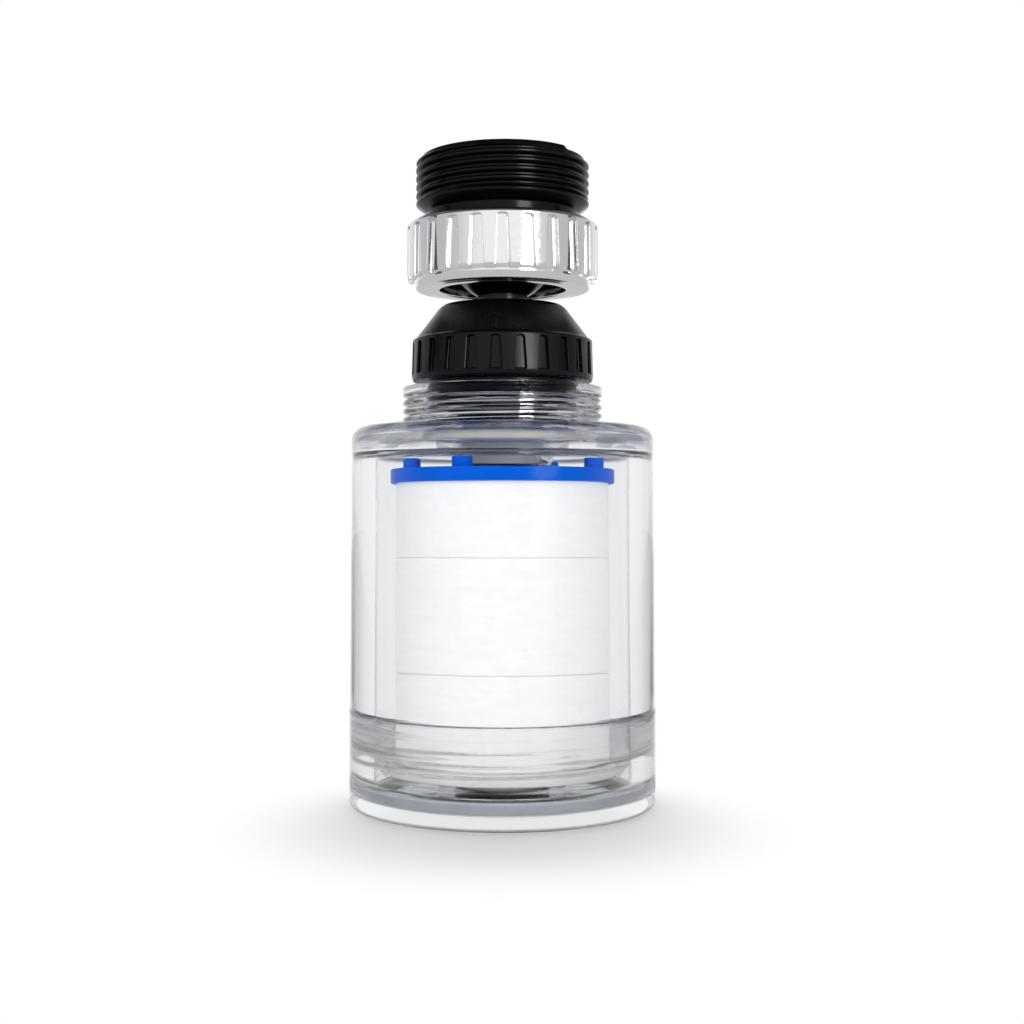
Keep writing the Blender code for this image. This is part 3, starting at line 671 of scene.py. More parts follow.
# %% Model the base cap
BASE_PITCH = 1.5 * MM
BASE_TOOTH = 0.45 * MM
BASE_ROLL = 0.6 * MM
BASE_FLOOR = 1.7 * MM
OUTLET_R = 7.0 * MM
BOSS_R = 8.8 * MM
BOSS_TOP = 4.7 * MM
FEMALE_ROOT = base_r - 1.5 * MM
BASE_THREAD_HIGH = base_top - 0.7 * MM
BASE_THREAD_LOW = 4.3 * MM
GROOVE_LEVEL = 6.0 * MM    # where the base's groove crosses the +X side
CORNER = 0.25 * MM         # of a moulded edge


def make_base_cap():
    skin = Skin(WIDE)
    roll = arc(base_r - BASE_ROLL, BASE_ROLL, BASE_ROLL, 0, -90, 6)
    rim = [(FEMALE_ROOT, BASE_THREAD_HIGH), (FEMALE_ROOT, base_top), (base_r, base_top), roll[0]]
    inside = [
        roll[-1],
        (OUTLET_R, 0.0),
        (OUTLET_R, BOSS_TOP),
        (BOSS_R, BOSS_TOP),
        (BOSS_R, BASE_FLOOR),
        (FEMALE_ROOT, BASE_FLOOR),
        (FEMALE_ROOT, BASE_THREAD_LOW),
    ]
    skin.profile(soften(rim, CORNER) + roll[1:] + soften(inside, CORNER)[1:])
    add_thread(
        skin, FEMALE_ROOT, -BASE_TOOTH, BASE_THREAD_HIGH, BASE_THREAD_LOW, BASE_PITCH, GROOVE_LEVEL,
        flank=ROUND_FLANK,
    )
    return skin.build("clear_base_cap")


stand_for(make_base_cap(), "base_cap", base_clear)


# %% [markdown]
# ## The housing
#
# The housing is one thick clear moulding: a threaded spigot below, a straight wall with a little
# draft, a solid shoulder and a threaded neck. The thick shoulder works as a lens, so its corner and
# the fillet inside it are true arcs. The lens bends the background into swirls, and their dark parts
# are painted shade in the clear plastic's shoulder band.

# %% Sizes of the housing
SHOULDER_CORNER = 2.0 * MM
BODY_TOP_R = housing_r - 0.2 * MM
JOINT = base_top + 0.3 * MM
BODY_BORE_R = housing_r - 3.45 * MM
CEILING = SHOULDER - 3.6 * MM
CEILING_FILLET = 1.2 * MM
CEILING_HOLE_R = 6.0 * MM
BOSS_TOP_R = 7.3 * MM       # a short boss hangs round the hole
BOSS_FOOT_R = 6.7 * MM
BOSS_DROP = 1.5 * MM
LEDGE = CEILING + 1.0 * MM
NECK_R = 13.9 * MM
NECK_TOOTH = 0.35 * MM
NECK_PITCH = 1.15 * MM
NECK_START = SHOULDER + 0.98 * MM   # where the groove of the neck's thread crosses the +X side
NECK_BORE_R = 11.15 * MM
NECK_BORE_TOOTH = 0.35 * MM
COUPLING_PITCH = 1.0 * MM
print(f"the housing's wall is {1000 * (housing_r - BODY_BORE_R):.2f} mm thick")


# %% Model the housing
def make_housing():
    skin = Skin(WIDE)
    neck_high, neck_low = neck_top - 1.5 * MM, SHOULDER + 0.35 * MM
    bore_high, bore_low = neck_top - 0.6 * MM, LEDGE + 1.7 * MM
    spigot_high, spigot_low = JOINT - 0.5 * MM, housing_foot + 0.7 * MM
    neck_root = NECK_R - NECK_TOOTH
    rim = [
        (NECK_BORE_R, bore_high),
        (NECK_BORE_R, neck_top),
        (NECK_R, neck_top),
        (NECK_R, neck_high + CORNER),
        (neck_root, neck_high),
    ]
    skin.profile(soften(rim, CORNER))
    add_thread(skin, neck_root, NECK_TOOTH, neck_high, neck_low, NECK_PITCH, NECK_START, fade=0.4)
    corner = arc(BODY_TOP_R - SHOULDER_CORNER, SHOULDER - SHOULDER_CORNER, SHOULDER_CORNER, 90, 0, 12)
    shoulder = [(neck_root, neck_low), (neck_root, SHOULDER), corner[0]]
    joint = [corner[-1], (housing_r, JOINT), (MALE_ROOT, JOINT), (MALE_ROOT, spigot_high)]
    skin.profile(soften(shoulder, CORNER) + corner[1:] + soften(joint, CORNER)[1:])
    male_start = GROOVE_LEVEL + BASE_PITCH / 2
    add_thread(
        skin, MALE_ROOT, BASE_TOOTH, spigot_high, spigot_low, BASE_PITCH, male_start, flank=ROUND_FLANK
    )
    fillet = arc(BODY_BORE_R - CEILING_FILLET, CEILING - CEILING_FILLET, CEILING_FILLET, 0, 90, 8)
    foot = [(MALE_ROOT, spigot_low), (MALE_ROOT, housing_foot), (BODY_BORE_R, housing_foot), fillet[0]]
    neck_bore = [
        fillet[-1],
        (BOSS_TOP_R, CEILING),
        (BOSS_FOOT_R, CEILING - BOSS_DROP),
        (CEILING_HOLE_R, CEILING - BOSS_DROP),
        (CEILING_HOLE_R, LEDGE),
        (NECK_BORE_R, LEDGE),
        (NECK_BORE_R, bore_low),
    ]
    skin.profile(soften(foot, CORNER) + fillet[1:] + soften(neck_bore, CORNER)[1:])
    add_thread(skin, NECK_BORE_R, -NECK_BORE_TOOTH, bore_high, bore_low, COUPLING_PITCH, LEDGE)
    return skin.build("clear_housing")


stand_for(make_housing(), "housing", housing_clear)


# %% [markdown]
# ## Silicone rings
#
# A silicone ring seals the end of the housing, and a washer lies in the neck, with a lip that goes
# down through the ceiling's hole. Silicone is milky, and light sinks a little way into it. A plain
# grey would look like painted card, so the finish has some subsurface light under a dull skin.
# Both pieces are turned as rings with soft edges.

# %% Silicone finish
def silicone(name, colour, shade, scale):
    finish = new_finish(name)
    cloud = finish.noise(scale, 4.0)
    grain = finish.noise(6000.0, 2.0)
    shader = finish.surface(
        Base_Color=finish.blend(cloud, shade, colour),
        Roughness=finish.remap(grain, 0.2, 0.8, 0.32, 0.55),
        Subsurface_Weight=0.35,
        Subsurface_Radius=(0.6, 0.6, 0.6),
        Subsurface_Scale=0.0015,
        Normal=finish.bump(grain, 0.02 * MM, 0.5),
    )
    return finish.done(shader)


seal_grey = silicone("base_seal_silicone", (0.62, 0.64, 0.66), (0.50, 0.52, 0.55), 400.0)
washer_grey = silicone("neck_washer_silicone", (0.56, 0.55, 0.51), (0.44, 0.43, 0.40), 500.0)


# %% Model the rings
def ring(name, inner_r, outer_r, low, high, edge, angles=None):
    """A ring of square section with soft edges."""
    middle = (low + high) / 2
    section = [
        (outer_r, middle),
        (outer_r, low),
        (inner_r, low),
        (inner_r, high),
        (outer_r, high),
        (outer_r, middle),
    ]
    skin = Skin(MIDDLE if angles is None else angles)
    skin.profile(soften(section, edge, 4))
    return skin.build(name)


seal_r, seal_low, seal_high = span("base_seal")
stand_for(
    ring("silicone_base_seal", BODY_BORE_R + 0.1 * MM, seal_r, seal_low, seal_high, 0.3 * MM, WIDE),
    "base_seal",
    seal_grey,
)

# %% Model the neck washer
WASHER_LIP_R = CEILING_HOLE_R - 0.1 * MM      # its lip goes down through the ceiling's hole
WASHER_BORE_R = 4.9 * MM
WASHER_LIP_FOOT = CEILING - BOSS_DROP


def make_washer():
    outer_r, low, high = span("neck_washer")
    middle = (low + high) / 2
    section = [
        (outer_r, middle),
        (outer_r, low),
        (WASHER_LIP_R, low),
        (WASHER_LIP_R, WASHER_LIP_FOOT),
        (WASHER_BORE_R, WASHER_LIP_FOOT),
        (WASHER_BORE_R, high),
        (outer_r, high),
        (outer_r, middle),
    ]
    skin = Skin(MIDDLE)
    skin.profile(soften(section, 0.2 * MM, 4))
    return skin.build("silicone_neck_washer")


stand_for(make_washer(), "neck_washer", washer_grey)


# %% [markdown]
# ## The cotton
#
# Three bands of cotton felt are wound on the core. Their edges are rolled soft, their faces swell
# and sink a little, and fine fibres lie every way on the surface. The broad shape is moved in the
# mesh with a smooth noise, because it shows along the outline, and the fibres are a bump.

# %% Cotton felt
def cotton_felt():
    finish = new_finish("cotton_felt")
    tuft = finish.noise(900.0, 6.0, roughness=0.65)
    wound = finish.noise(260.0, 3.0, stretch=(1.0, 1.0, 5.0))
    fibre = finish.noise(5200.0, 5.0, stretch=(1.0, 1.0, 3.0), roughness=0.7)
    shade = finish.remap(wound * 0.5 + tuft * 0.5, 0.3, 0.7)
    height = fibre * 0.6 + tuft * 0.4
    shader = finish.surface(
        Base_Color=finish.blend(shade, (0.90, 0.90, 0.905), (0.955, 0.955, 0.955)),
        Roughness=0.95,
        Specular_IOR_Level=0.15,
        Sheen_Weight=0.3,
        Sheen_Roughness=0.6,
        Normal=finish.bump(height, 0.09 * MM, 0.55),
    )
    return finish.done(shader)


felt = cotton_felt()

# %% Model the three bands
CORE_FIT_R = 6.7 * MM
FELT_ROLL = 0.30 * MM       # of a band's upper edge
FELT_EDGE = 0.06 * MM       # of its lower edge, which is pressed flat on the next band
FELT_PRESS = 0.005 * MM     # gap left on each side of a seam
CAP_CONTACT = 0.28 * MM     # the top band swells until it nearly meets the blue cap
SEAM_LOW = 1.155 * MM       # the lower seam lies this far above the plain solids' seam
SEAM_HIGH = 0.745 * MM      # and the upper seam this far above theirs

seam_low = (span("cotton_band_lower")[2] + span("cotton_band_middle")[1]) / 2 + SEAM_LOW
seam_high = (span("cotton_band_middle")[2] + span("cotton_band_upper")[1]) / 2 + SEAM_HIGH


def felt_band(name, node):
    outer_r, low, high = span(node)
    if node == "cotton_band_lower":
        high = seam_low - FELT_PRESS
    elif node == "cotton_band_middle":
        low, high = seam_low + FELT_PRESS, seam_high - FELT_PRESS
    else:
        low, high = seam_high + FELT_PRESS, high + CAP_CONTACT
    roll = FELT_ROLL if node != "cotton_band_upper" else FELT_EDGE
    edge_top = arc(outer_r - roll, high - roll, roll, 90, 0, 7)
    edge_low = arc(outer_r - FELT_EDGE, low + FELT_EDGE, FELT_EDGE, 0, -90, 3)
    side = [(outer_r, level) for level in np.linspace(high - roll, low + FELT_EDGE, 26)[1:-1]]
    across = [(r, low) for r in np.linspace(outer_r - FELT_EDGE, CORE_FIT_R, 6)[1:]]
    back = [(r, high) for r in np.linspace(CORE_FIT_R, outer_r - roll, 6)]
    rows = np.array(edge_top + side + edge_low + across + back)
    radius = np.repeat(rows[:, :1], len(WIDE), axis=1)
    level = np.repeat(rows[:, 1:], len(WIDE), axis=1)
    for row, (r, z) in enumerate(rows):
        if r > CORE_FIT_R + roll:
            for column, angle in enumerate(WIDE):
                place = Vector((r * math.cos(angle), r * math.sin(angle), z))
                wave = noise.noise(place * 160.0) * 0.6 + noise.noise(place * 520.0) * 0.4
                radius[row, column] -= (0.5 + 0.5 * wave) * 0.16 * MM
    skin = Skin(WIDE)
    skin.grid(radius, level)
    return skin.build(name, 60.0)


for band in ("lower", "middle", "upper"):
    stand_for(felt_band(f"cotton_{band}", f"cotton_band_{band}"), f"cotton_band_{band}", felt)


# %% [markdown]
# ## The cartridge's end caps
#
# A blue cap closes the top of the cartridge. Four pins on it keep it off the housing's ceiling.
# They could just be pushed into the disc, but then faces would lie inside the plastic, so a
# Boolean joins them on and the cap is one closed moulding. The bottom cap is white, with a nipple
# for the outlet.

# %% Plastic finishes of the caps
def moulded(name, light, dark, gloss, level, scale=600.0):
    """Opaque moulded plastic, from dark to light, with a roughness between the two in gloss."""
    finish = new_finish(name)
    cloud = finish.noise(scale, 4.0)
    grain = finish.noise(9000.0, 3.0)
    flow = finish.noise(200.0, 2.0, stretch=(1.0, 1.0, 0.4))
    shader = finish.surface(
        Base_Color=finish.blend(cloud, dark, light),
        Roughness=finish.remap(flow * 0.6 + grain * 0.4, 0.3, 0.7, *gloss),
        Normal=finish.bump(flow * 0.7 + grain * 0.3, 0.012 * MM, 0.5),
        Specular_IOR_Level=level,
        IOR=1.5,
    )
    return finish.done(shader)


cap_blue = moulded("blue_plastic", (0.0, 0.115, 0.70), (0.0, 0.09, 0.60), (0.22, 0.4), 0.02)
cap_white = moulded("white_plastic", (0.84, 0.84, 0.82), (0.77, 0.77, 0.75), (0.3, 0.5), 0.4)

# %% Model the blue cap and its pins
PIN_R = 1.3 * MM
PIN_CIRCLE_R = 13.0 * MM
PIN_ANGLES = (56.0, 174.0, 247.0, 341.0)
CAP_THICKNESS = 1.8 * MM
PIN_HEIGHT = 1.75 * MM
PLUG_R = 4.9 * MM


def make_pins(foot, top):
    """The pins as one tool, each with a rounded top."""
    tool = bmesh.new()
    for angle in PIN_ANGLES:
        turn = Matrix.Rotation(math.radians(angle), 4, "Z")
        place = turn @ Matrix.Translation((PIN_CIRCLE_R, 0.0, (foot + top) / 2))
        made = bmesh.ops.create_cone(
            tool,
            cap_ends=True,
            segments=40,
            radius1=PIN_R,
            radius2=PIN_R,
            depth=top - foot,
            matrix=place,
        )
        edges = {edge for vert in made["verts"] for edge in vert.link_edges}
        rim = [edge for edge in edges if all(vert.co.z > top - WELD for vert in edge.verts)]
        bmesh.ops.bevel(tool, geom=rim, offset=0.4 * MM, segments=4, profile=0.5, affect="EDGES")
    mesh = bpy.data.meshes.new("pins")
    tool.to_mesh(mesh)
    tool.free()
    pins = bpy.data.objects.new("pins", mesh)
    bpy.context.scene.collection.objects.link(pins)
    return pins


def make_blue_cap():
    outer_r, foot, pin_top = span("cartridge_top_cap")
    top = pin_top - PIN_HEIGHT
    low = top - CAP_THICKNESS
    section = [
        (0.0, top),
        (outer_r, top),
        (outer_r, low),
        (PLUG_R, low),
        (PLUG_R, foot),
        (0.0, foot),
    ]
    skin = Skin(MIDDLE)
    skin.profile(soften(section, 0.2 * MM))
    cap = skin.build("cap_blank")
    pins = make_pins((top + low) / 2, pin_top)
    join = cap.modifiers.new("Pins", "BOOLEAN")
    join.operation, join.solver, join.object = "UNION", "EXACT", pins
    made = bpy.data.meshes.new_from_object(cap.evaluated_get(bpy.context.evaluated_depsgraph_get()))
    for spare in (cap, pins):
        bpy.data.objects.remove(spare, do_unlink=True)
    made.name = "blue_top_cap"
    made.shade_smooth()
    made.set_sharp_from_angle(angle=math.radians(32.0))
    piece = bpy.data.objects.new("blue_top_cap", made)
    bpy.context.scene.collection.objects.link(piece)
    print("blue_top_cap:", len(made.polygons), "faces")
    return piece


stand_for(make_blue_cap(), "cartridge_top_cap", cap_blue)

# %% Model the bottom cap
NIPPLE_R = 6.7 * MM
FLOW_R = 4.0 * MM


def make_bottom_cap():
    outer_r, nipple_end, plug_top = span("cartridge_bottom_cap")
    cap_low = BOSS_TOP + 0.3 * MM
    cap_top = cap_low + 1.5 * MM
    groove = (nipple_end + BOSS_TOP) / 2
    half = 0.7 * MM
    section = [
        (PLUG_R, plug_top - 0.5 * MM),
        (PLUG_R, cap_top),
        (outer_r, cap_top),
        (outer_r, cap_low),
        (NIPPLE_R, cap_low),
        (NIPPLE_R, groove + half),
        (NIPPLE_R - 1.1 * MM, groove + half),
        (NIPPLE_R - 1.1 * MM, groove - half),
        (NIPPLE_R, groove - half),
        (NIPPLE_R, nipple_end),
        (FLOW_R, nipple_end),
        (FLOW_R, plug_top),
        (PLUG_R, plug_top),
        (PLUG_R, plug_top - 0.5 * MM),
    ]
    skin = Skin(MIDDLE)
    skin.profile(soften(section, 0.2 * MM))
    return skin.build("white_bottom_cap")


stand_for(make_bottom_cap(), "cartridge_bottom_cap", cap_white)


# %% [markdown]
# ## Black plastic
#
# The collar, the ball stem and the adapter are glossy black. Their skin mirrors the studio, with
# faint flow marks and fine dust that break up the mirror image. A clear coat is not needed: plain
# plastic already reflects at grazing angles. Each piece has its own gloss, since the adapter came
# from a smoother mould than the collar.

# %% Black plastic
def black_plastic(name, gloss, level):
    finish = new_finish(name)
    flow = finish.noise(160.0, 3.0, stretch=(1.0, 1.0, 0.5))
    dust = finish.noise(7000.0, 4.0, roughness=0.7)
    shader = finish.surface(
        Base_Color=finish.blend(flow, (0.0008, 0.0008, 0.0009), (0.0025, 0.0025, 0.0026)),
        Roughness=finish.remap(flow * 0.7 + dust * 0.3, 0.3, 0.7, *gloss),
        Specular_IOR_Level=level,
        IOR=1.5,
        Normal=finish.bump(flow * 0.8 + dust * 0.2, 0.01 * MM, 0.5),
    )
    return finish.done(shader)


collar_black = black_plastic("collar_black", (0.20, 0.34), 0.2)
adapter_black = black_plastic("adapter_black", (0.12, 0.22), 0.16)
stem_black = black_plastic("stem_black", (0.10, 0.20), 0.5)
seat_black = black_plastic("seat_black", (0.30, 0.42), 0.1)


# %% [markdown]
# ## The coupling collar
#
# The collar screws into the neck. Its skirt is gripped by flutes that are closed at both ends,
# and above them a cone leads up to the ball stem. The skirt swells downward, so the radius of its
# lands depends on the level. The flutes could be cut with an Array of tools, but columns that
# follow their edges give each one a soft corner of the same width.

# %% Model the coupling collar
FLUTES = 24
COLLAR_SKIRT = 5.7 * MM
COLLAR_DRAFT = 0.17 * MM
COLLAR_RIM = 0.9 * MM
COLLAR_TURN = math.radians(-4.2)    # how far it was screwed on
SKIRT_FOOT = neck_top + 0.8 * MM
SKIRT_TOP = SKIRT_FOOT + COLLAR_SKIRT
CONE_FOOT_R = 12.0 * MM
CONE_TOP_R = 8.8 * MM
SPIGOT_ROOT = 10.2 * MM
SPIGOT_TOOTH = 0.45 * MM
CAVITY_R = 8.6 * MM
CAVITY_TOP = SKIRT_FOOT + 2.8 * MM
SHANK_HOLE_R = 5.0 * MM


def collar_land(level):
    """Radius of the skirt's lands at a level."""
    return collar_r - COLLAR_DRAFT * np.clip((level - SKIRT_FOOT) / COLLAR_SKIRT, 0.0, 1.0)


def make_collar():
    fluting = Fluting(FLUTES, collar_r, 0.10 * MM, COLLAR_TURN)
    high, low = SKIRT_TOP - 0.42 * MM, SKIRT_FOOT + COLLAR_RIM
    skin = Skin(None)
    above, below, _ = add_flutes(
        skin, fluting, collar_land, 0.6 * MM, high, low, 1.15 * MM, 1.7 * MM, closed_below=True
    )
    skin.angles = below
    hole_level = collar_top - 1.0 * MM
    crown = [
        (SHANK_HOLE_R, hole_level),
        (SHANK_HOLE_R, collar_top),
        (CONE_TOP_R - 0.55 * MM, collar_top),
        (CONE_TOP_R + 0.1 * MM, collar_top - 0.5 * MM),
        (CONE_FOOT_R, SKIRT_TOP + 0.3 * MM),
        (collar_land(SKIRT_TOP), SKIRT_TOP),
        (collar_land(high + fluting.softness), high + fluting.softness),
    ]
    skin.profile(soften(crown, 0.18 * MM), above)
    thread_high, thread_low = SKIRT_FOOT - 0.5 * MM, collar_foot + 0.6 * MM
    rim = [
        (collar_land(low - fluting.softness), low - fluting.softness),
        (collar_r - 0.2 * MM, SKIRT_FOOT),
        (SPIGOT_ROOT, SKIRT_FOOT),
        (SPIGOT_ROOT, thread_high),
    ]
    skin.profile(soften(rim, 0.22 * MM))
    add_thread(skin, SPIGOT_ROOT, SPIGOT_TOOTH, thread_high, thread_low, COUPLING_PITCH, LEDGE)
    inside = [
        (SPIGOT_ROOT, thread_low),
        (SPIGOT_ROOT, collar_foot),
        (CAVITY_R, collar_foot),
        (CAVITY_R, CAVITY_TOP),
        (SHANK_HOLE_R, CAVITY_TOP),
        (SHANK_HOLE_R, hole_level - 1.0 * MM),
    ]
    skin.profile(soften(inside, 0.2 * MM))
    skin.bridge(SHANK_HOLE_R, hole_level - 1.0 * MM, below, hole_level, above)
    return skin.build("black_collar")


stand_for(make_collar(), "coupling_collar", collar_black)


# %% [markdown]
# ## The ball stem and its seat
#
# The stem is one moulding: a bored ball on a slim neck, a shoulder and a shank. The seat ring in
# the nut cups the ball's lower half. A UV sphere could stand for the ball, but it would have to be
# cut open for the bore and the neck. So both come from arcs about the ball's centre, turned.

# %% Model the ball stem and the seat
ball_r, shank_foot, ball_top = span("ball_stem")
BALL_LEVEL = ball_top - 3.7 * MM
STEM_NECK_R = 3.45 * MM
STEM_BORE_R = 2.3 * MM
SHANK_R = 4.7 * MM
seat_r, seat_low, seat_high = span("ball_seat")


def make_ball_stem():
    top_turn = math.degrees(math.asin((ball_top - BALL_LEVEL) / ball_r))
    neck_turn = -math.degrees(math.acos(STEM_NECK_R / ball_r))
    ball = arc(0.0, BALL_LEVEL, ball_r, top_turn, neck_turn, 48)
    shank_top = collar_top - 0.3 * MM
    groove = shank_foot + 2.0 * MM
    half = 0.75 * MM
    stem = [
        ball[-1],
        (STEM_NECK_R, shank_top),
        (SHANK_R, shank_top),
        (SHANK_R, groove + half),
        (SHANK_R - 1.2 * MM, groove + half),
        (SHANK_R - 1.2 * MM, groove - half),
        (SHANK_R, groove - half),
        (SHANK_R, shank_foot),
        (STEM_BORE_R, shank_foot),
        (STEM_BORE_R, ball_top - 1.4 * MM),
        (STEM_BORE_R + 1.4 * MM, ball_top),
        ball[0],
    ]
    skin = Skin(MIDDLE)
    skin.profile(ball + soften(stem, 0.3 * MM, 4)[1:])
    return skin.build("black_ball_stem")


def make_ball_seat():
    cup_r = ball_r + 0.3 * MM
    low_turn = -math.degrees(math.asin((BALL_LEVEL - seat_low) / cup_r))
    high_turn = -math.degrees(math.asin((BALL_LEVEL - seat_high) / cup_r))
    cup = arc(0.0, BALL_LEVEL, cup_r, low_turn, high_turn, 16)
    outside = [cup[-1], (seat_r, seat_high), (seat_r, seat_low), cup[0]]
    skin = Skin(MIDDLE)
    skin.profile(soften(outside, 0.2 * MM) + cup[1:])
    return skin.build("black_ball_seat")


stand_for(make_ball_stem(), "ball_stem", stem_black)
stand_for(make_ball_seat(), "ball_seat", seat_black)


# %% [markdown]
# ## Chrome
#
# The nut is plated plastic. Plating mirrors everything, so what it needs is something to mirror:
# the studio's walls and the gap between them. Its own detail is small: a breath of haze, a faint
# drift in its grey, and an orange-peel ripple from the moulding under it.

# %% Chrome finish
def plated():
    finish = new_finish("plated_chrome")
    peel = finish.noise(420.0, 2.0)
    haze = finish.noise(2600.0, 4.0)
    shader = finish.surface(
        Base_Color=finish.blend(haze, (0.80, 0.81, 0.83), (0.88, 0.885, 0.89)),
        Metallic=1.0,
        Roughness=finish.remap(haze, 0.35, 0.75, 0.035, 0.12),
        Normal=finish.bump(peel, 0.01 * MM, 0.35),
    )
    return finish.done(shader)


chrome = plated()


# %% [markdown]
# ## The swivel nut
#
# The nut holds the ball up against the adapter. Its flutes are open below, where they run out over
# the flange. The same helper as for the collar draws them, and one flat ring of faces joins their
# floors and lands to the flange's edge. The hole is wide enough for the ball stem to tilt.

# %% Model the swivel nut
NUT_TOP = nut_top + 0.2 * MM
NUT_CHAMFER = 0.55 * MM
NUT_RIM = 0.75 * MM
NUT_FLUTE_DEPTH = 0.69 * MM
FLANGE_R = 12.35 * MM
FLANGE_RISE = 0.1 * MM      # of the chamfer under its edge
FLANGE_DISH_R = 10.5 * MM   # inside this the underside is level with the plain solid's
FLANGE_TOP = nut_foot + 1.4 * MM
LAND_EDGE = 0.12 * MM
NUT_HOLE_R = 8.8 * MM
NUT_BORE_R = 11.6 * MM
NUT_LIP = 1.3 * MM


def nut_land(level):
    """Radius of the nut's lands, eased at their lower end."""
    return nut_r - LAND_EDGE * (level < FLANGE_TOP + LAND_EDGE / 2)


def make_nut():
    fluting = Fluting(FLUTES, nut_r, 0.11 * MM)
    high = NUT_TOP - NUT_RIM - fluting.softness
    skin = Skin(None)
    widths = (1.35 * MM, 2.0 * MM)
    above, below, last = add_flutes(
        skin, fluting, nut_land, NUT_FLUTE_DEPTH, high, FLANGE_TOP, *widths, closed_below=False
    )
    skin.angles = below
    rim = [
        (NUT_BORE_R, NUT_TOP - 1.0 * MM),
        (NUT_BORE_R, NUT_TOP),
        (nut_r - NUT_CHAMFER, NUT_TOP),
        (nut_r, NUT_TOP - NUT_CHAMFER),
        (nut_r, high + fluting.softness),
    ]
    skin.profile(soften(rim, 0.25 * MM, 4), above)
    flange_r = np.full_like(last, FLANGE_R)
    skin.grid(np.array([last, flange_r]), np.full((2, 1), FLANGE_TOP), below)
    flange = [
        (FLANGE_R, FLANGE_TOP),
        (FLANGE_R, FLANGE_TOP - 0.35 * MM),
        (FLANGE_R - 0.3 * MM, nut_foot + FLANGE_RISE),
        (FLANGE_DISH_R + 0.4 * MM, nut_foot + 0.05 * MM),
        (FLANGE_DISH_R, nut_foot),
        (NUT_HOLE_R, nut_foot),
        (NUT_HOLE_R, nut_foot + NUT_LIP),
        (NUT_BORE_R, nut_foot + NUT_LIP),
        (NUT_BORE_R, NUT_TOP - 2.0 * MM),
    ]
    skin.profile(soften(flange, 0.25 * MM, 4))
    skin.bridge(NUT_BORE_R, NUT_TOP - 2.0 * MM, below, NUT_TOP - 1.0 * MM, above)
    return skin.build("chrome_nut")


stand_for(make_nut(), "swivel_nut", chrome)


# %% [markdown]
# ## The inlet adapter
#
# The adapter screws onto the tap, with a male thread outside and a female one in its socket. The
# male thread's crests catch the light as thin lines, so its teeth keep narrow crests. In the
# photograph the rim climbs a little as it goes round and ends in a step. A Boolean could cut that
# ramp, but taking it off the levels of the rim's rows keeps the grid whole.

# %% Model the adapter
ADAPTER_TOOTH = 0.65 * MM
ADAPTER_TURNS = 5
ADAPTER_NECK_R = 10.5 * MM
ADAPTER_FLANGE = NUT_TOP + 1.4 * MM
ADAPTER_THREAD_FOOT = ADAPTER_FLANGE + 1.6 * MM
ADAPTER_CREST = 88.9 * MM       # level of the top crest on the left side
RAMP_DROP = 0.45 * MM           # how much the rim rises in one turn, up to its step
RAMP_STEP = math.radians(319.0)
ADAPTER_SPIGOT_R = 11.3 * MM
ADAPTER_RIM_R = 11.3 * MM
SOCKET_R = 10.35 * MM
SOCKET_TOOTH = 0.35 * MM
SOCKET_FLOOR = adapter_top - 6.4 * MM
PASSAGE_R = 6.6 * MM
SEAL_GROOVE_R = 9.0 * MM


def make_adapter():
    pitch = (adapter_top - 0.45 * MM - ADAPTER_THREAD_FOOT) / ADAPTER_TURNS
    root = adapter_r - ADAPTER_TOOTH
    cup_r = ball_r + 0.3 * MM
    groove_low, groove_high = BALL_LEVEL + 2.6 * MM, SOCKET_FLOOR - 0.9 * MM
    cup = arc(0.0, BALL_LEVEL, cup_r, 0, math.degrees(math.asin((groove_low - BALL_LEVEL) / cup_r)), 10)
    skin = Skin(MIDDLE)
    thread_high = socket_high = adapter_top - 0.5 * MM
    socket_low = SOCKET_FLOOR + 2.6 * MM
    corners = [
        (SOCKET_R, socket_high),
        (SOCKET_R, adapter_top),
        (ADAPTER_RIM_R, adapter_top),
        (root, thread_high),
    ]
    rim = np.array(soften(corners, 0.12 * MM))
    ramp = RAMP_DROP * (1 - ((MIDDLE - RAMP_STEP) % math.tau) / math.tau)
    share = (rim[:, 1:] - thread_high) / (adapter_top - thread_high)
    skin.grid(rim[:, :1], rim[:, 1:] - share * ramp)
    start = ADAPTER_CREST - pitch
    levels = (thread_high, ADAPTER_THREAD_FOOT)
    add_thread(skin, root, ADAPTER_TOOTH, *levels, pitch, start, fade=0.4, flank=(0.1, 0.8))
    outside = [
        (root, ADAPTER_THREAD_FOOT),
        (adapter_r, ADAPTER_THREAD_FOOT - 0.1 * MM),
        (adapter_r, ADAPTER_THREAD_FOOT - 0.45 * MM),
        (ADAPTER_NECK_R, ADAPTER_FLANGE),
        (ADAPTER_NECK_R, NUT_TOP - 0.7 * MM),
        (ADAPTER_SPIGOT_R, NUT_TOP - 0.7 * MM),
        (ADAPTER_SPIGOT_R, adapter_foot),
        cup[0],
    ]
    inside = [
        cup[-1],
        (SEAL_GROOVE_R, groove_low),
        (SEAL_GROOVE_R, groove_high),
        (PASSAGE_R, groove_high),
        (PASSAGE_R, SOCKET_FLOOR),
        (SOCKET_R, SOCKET_FLOOR),
        (SOCKET_R, socket_low),
    ]
    skin.profile(soften(outside, 0.15 * MM) + cup[1:] + soften(inside, 0.12 * MM)[1:])
    add_thread(skin, SOCKET_R, -SOCKET_TOOTH, socket_high, socket_low, COUPLING_PITCH, adapter_top, 0.5)
    return skin.build("black_adapter")


stand_for(make_adapter(), "inlet_adapter", adapter_black)


# %% [markdown]
# ## Screen, washer and O-rings
#
# A woven steel screen and a rubber washer lie in the adapter's socket, and O-rings seal the ball,
# the stem and the outlet. The screen is a real weave: each wire goes over and under in a wave, and
# the crossing wires go the other way.

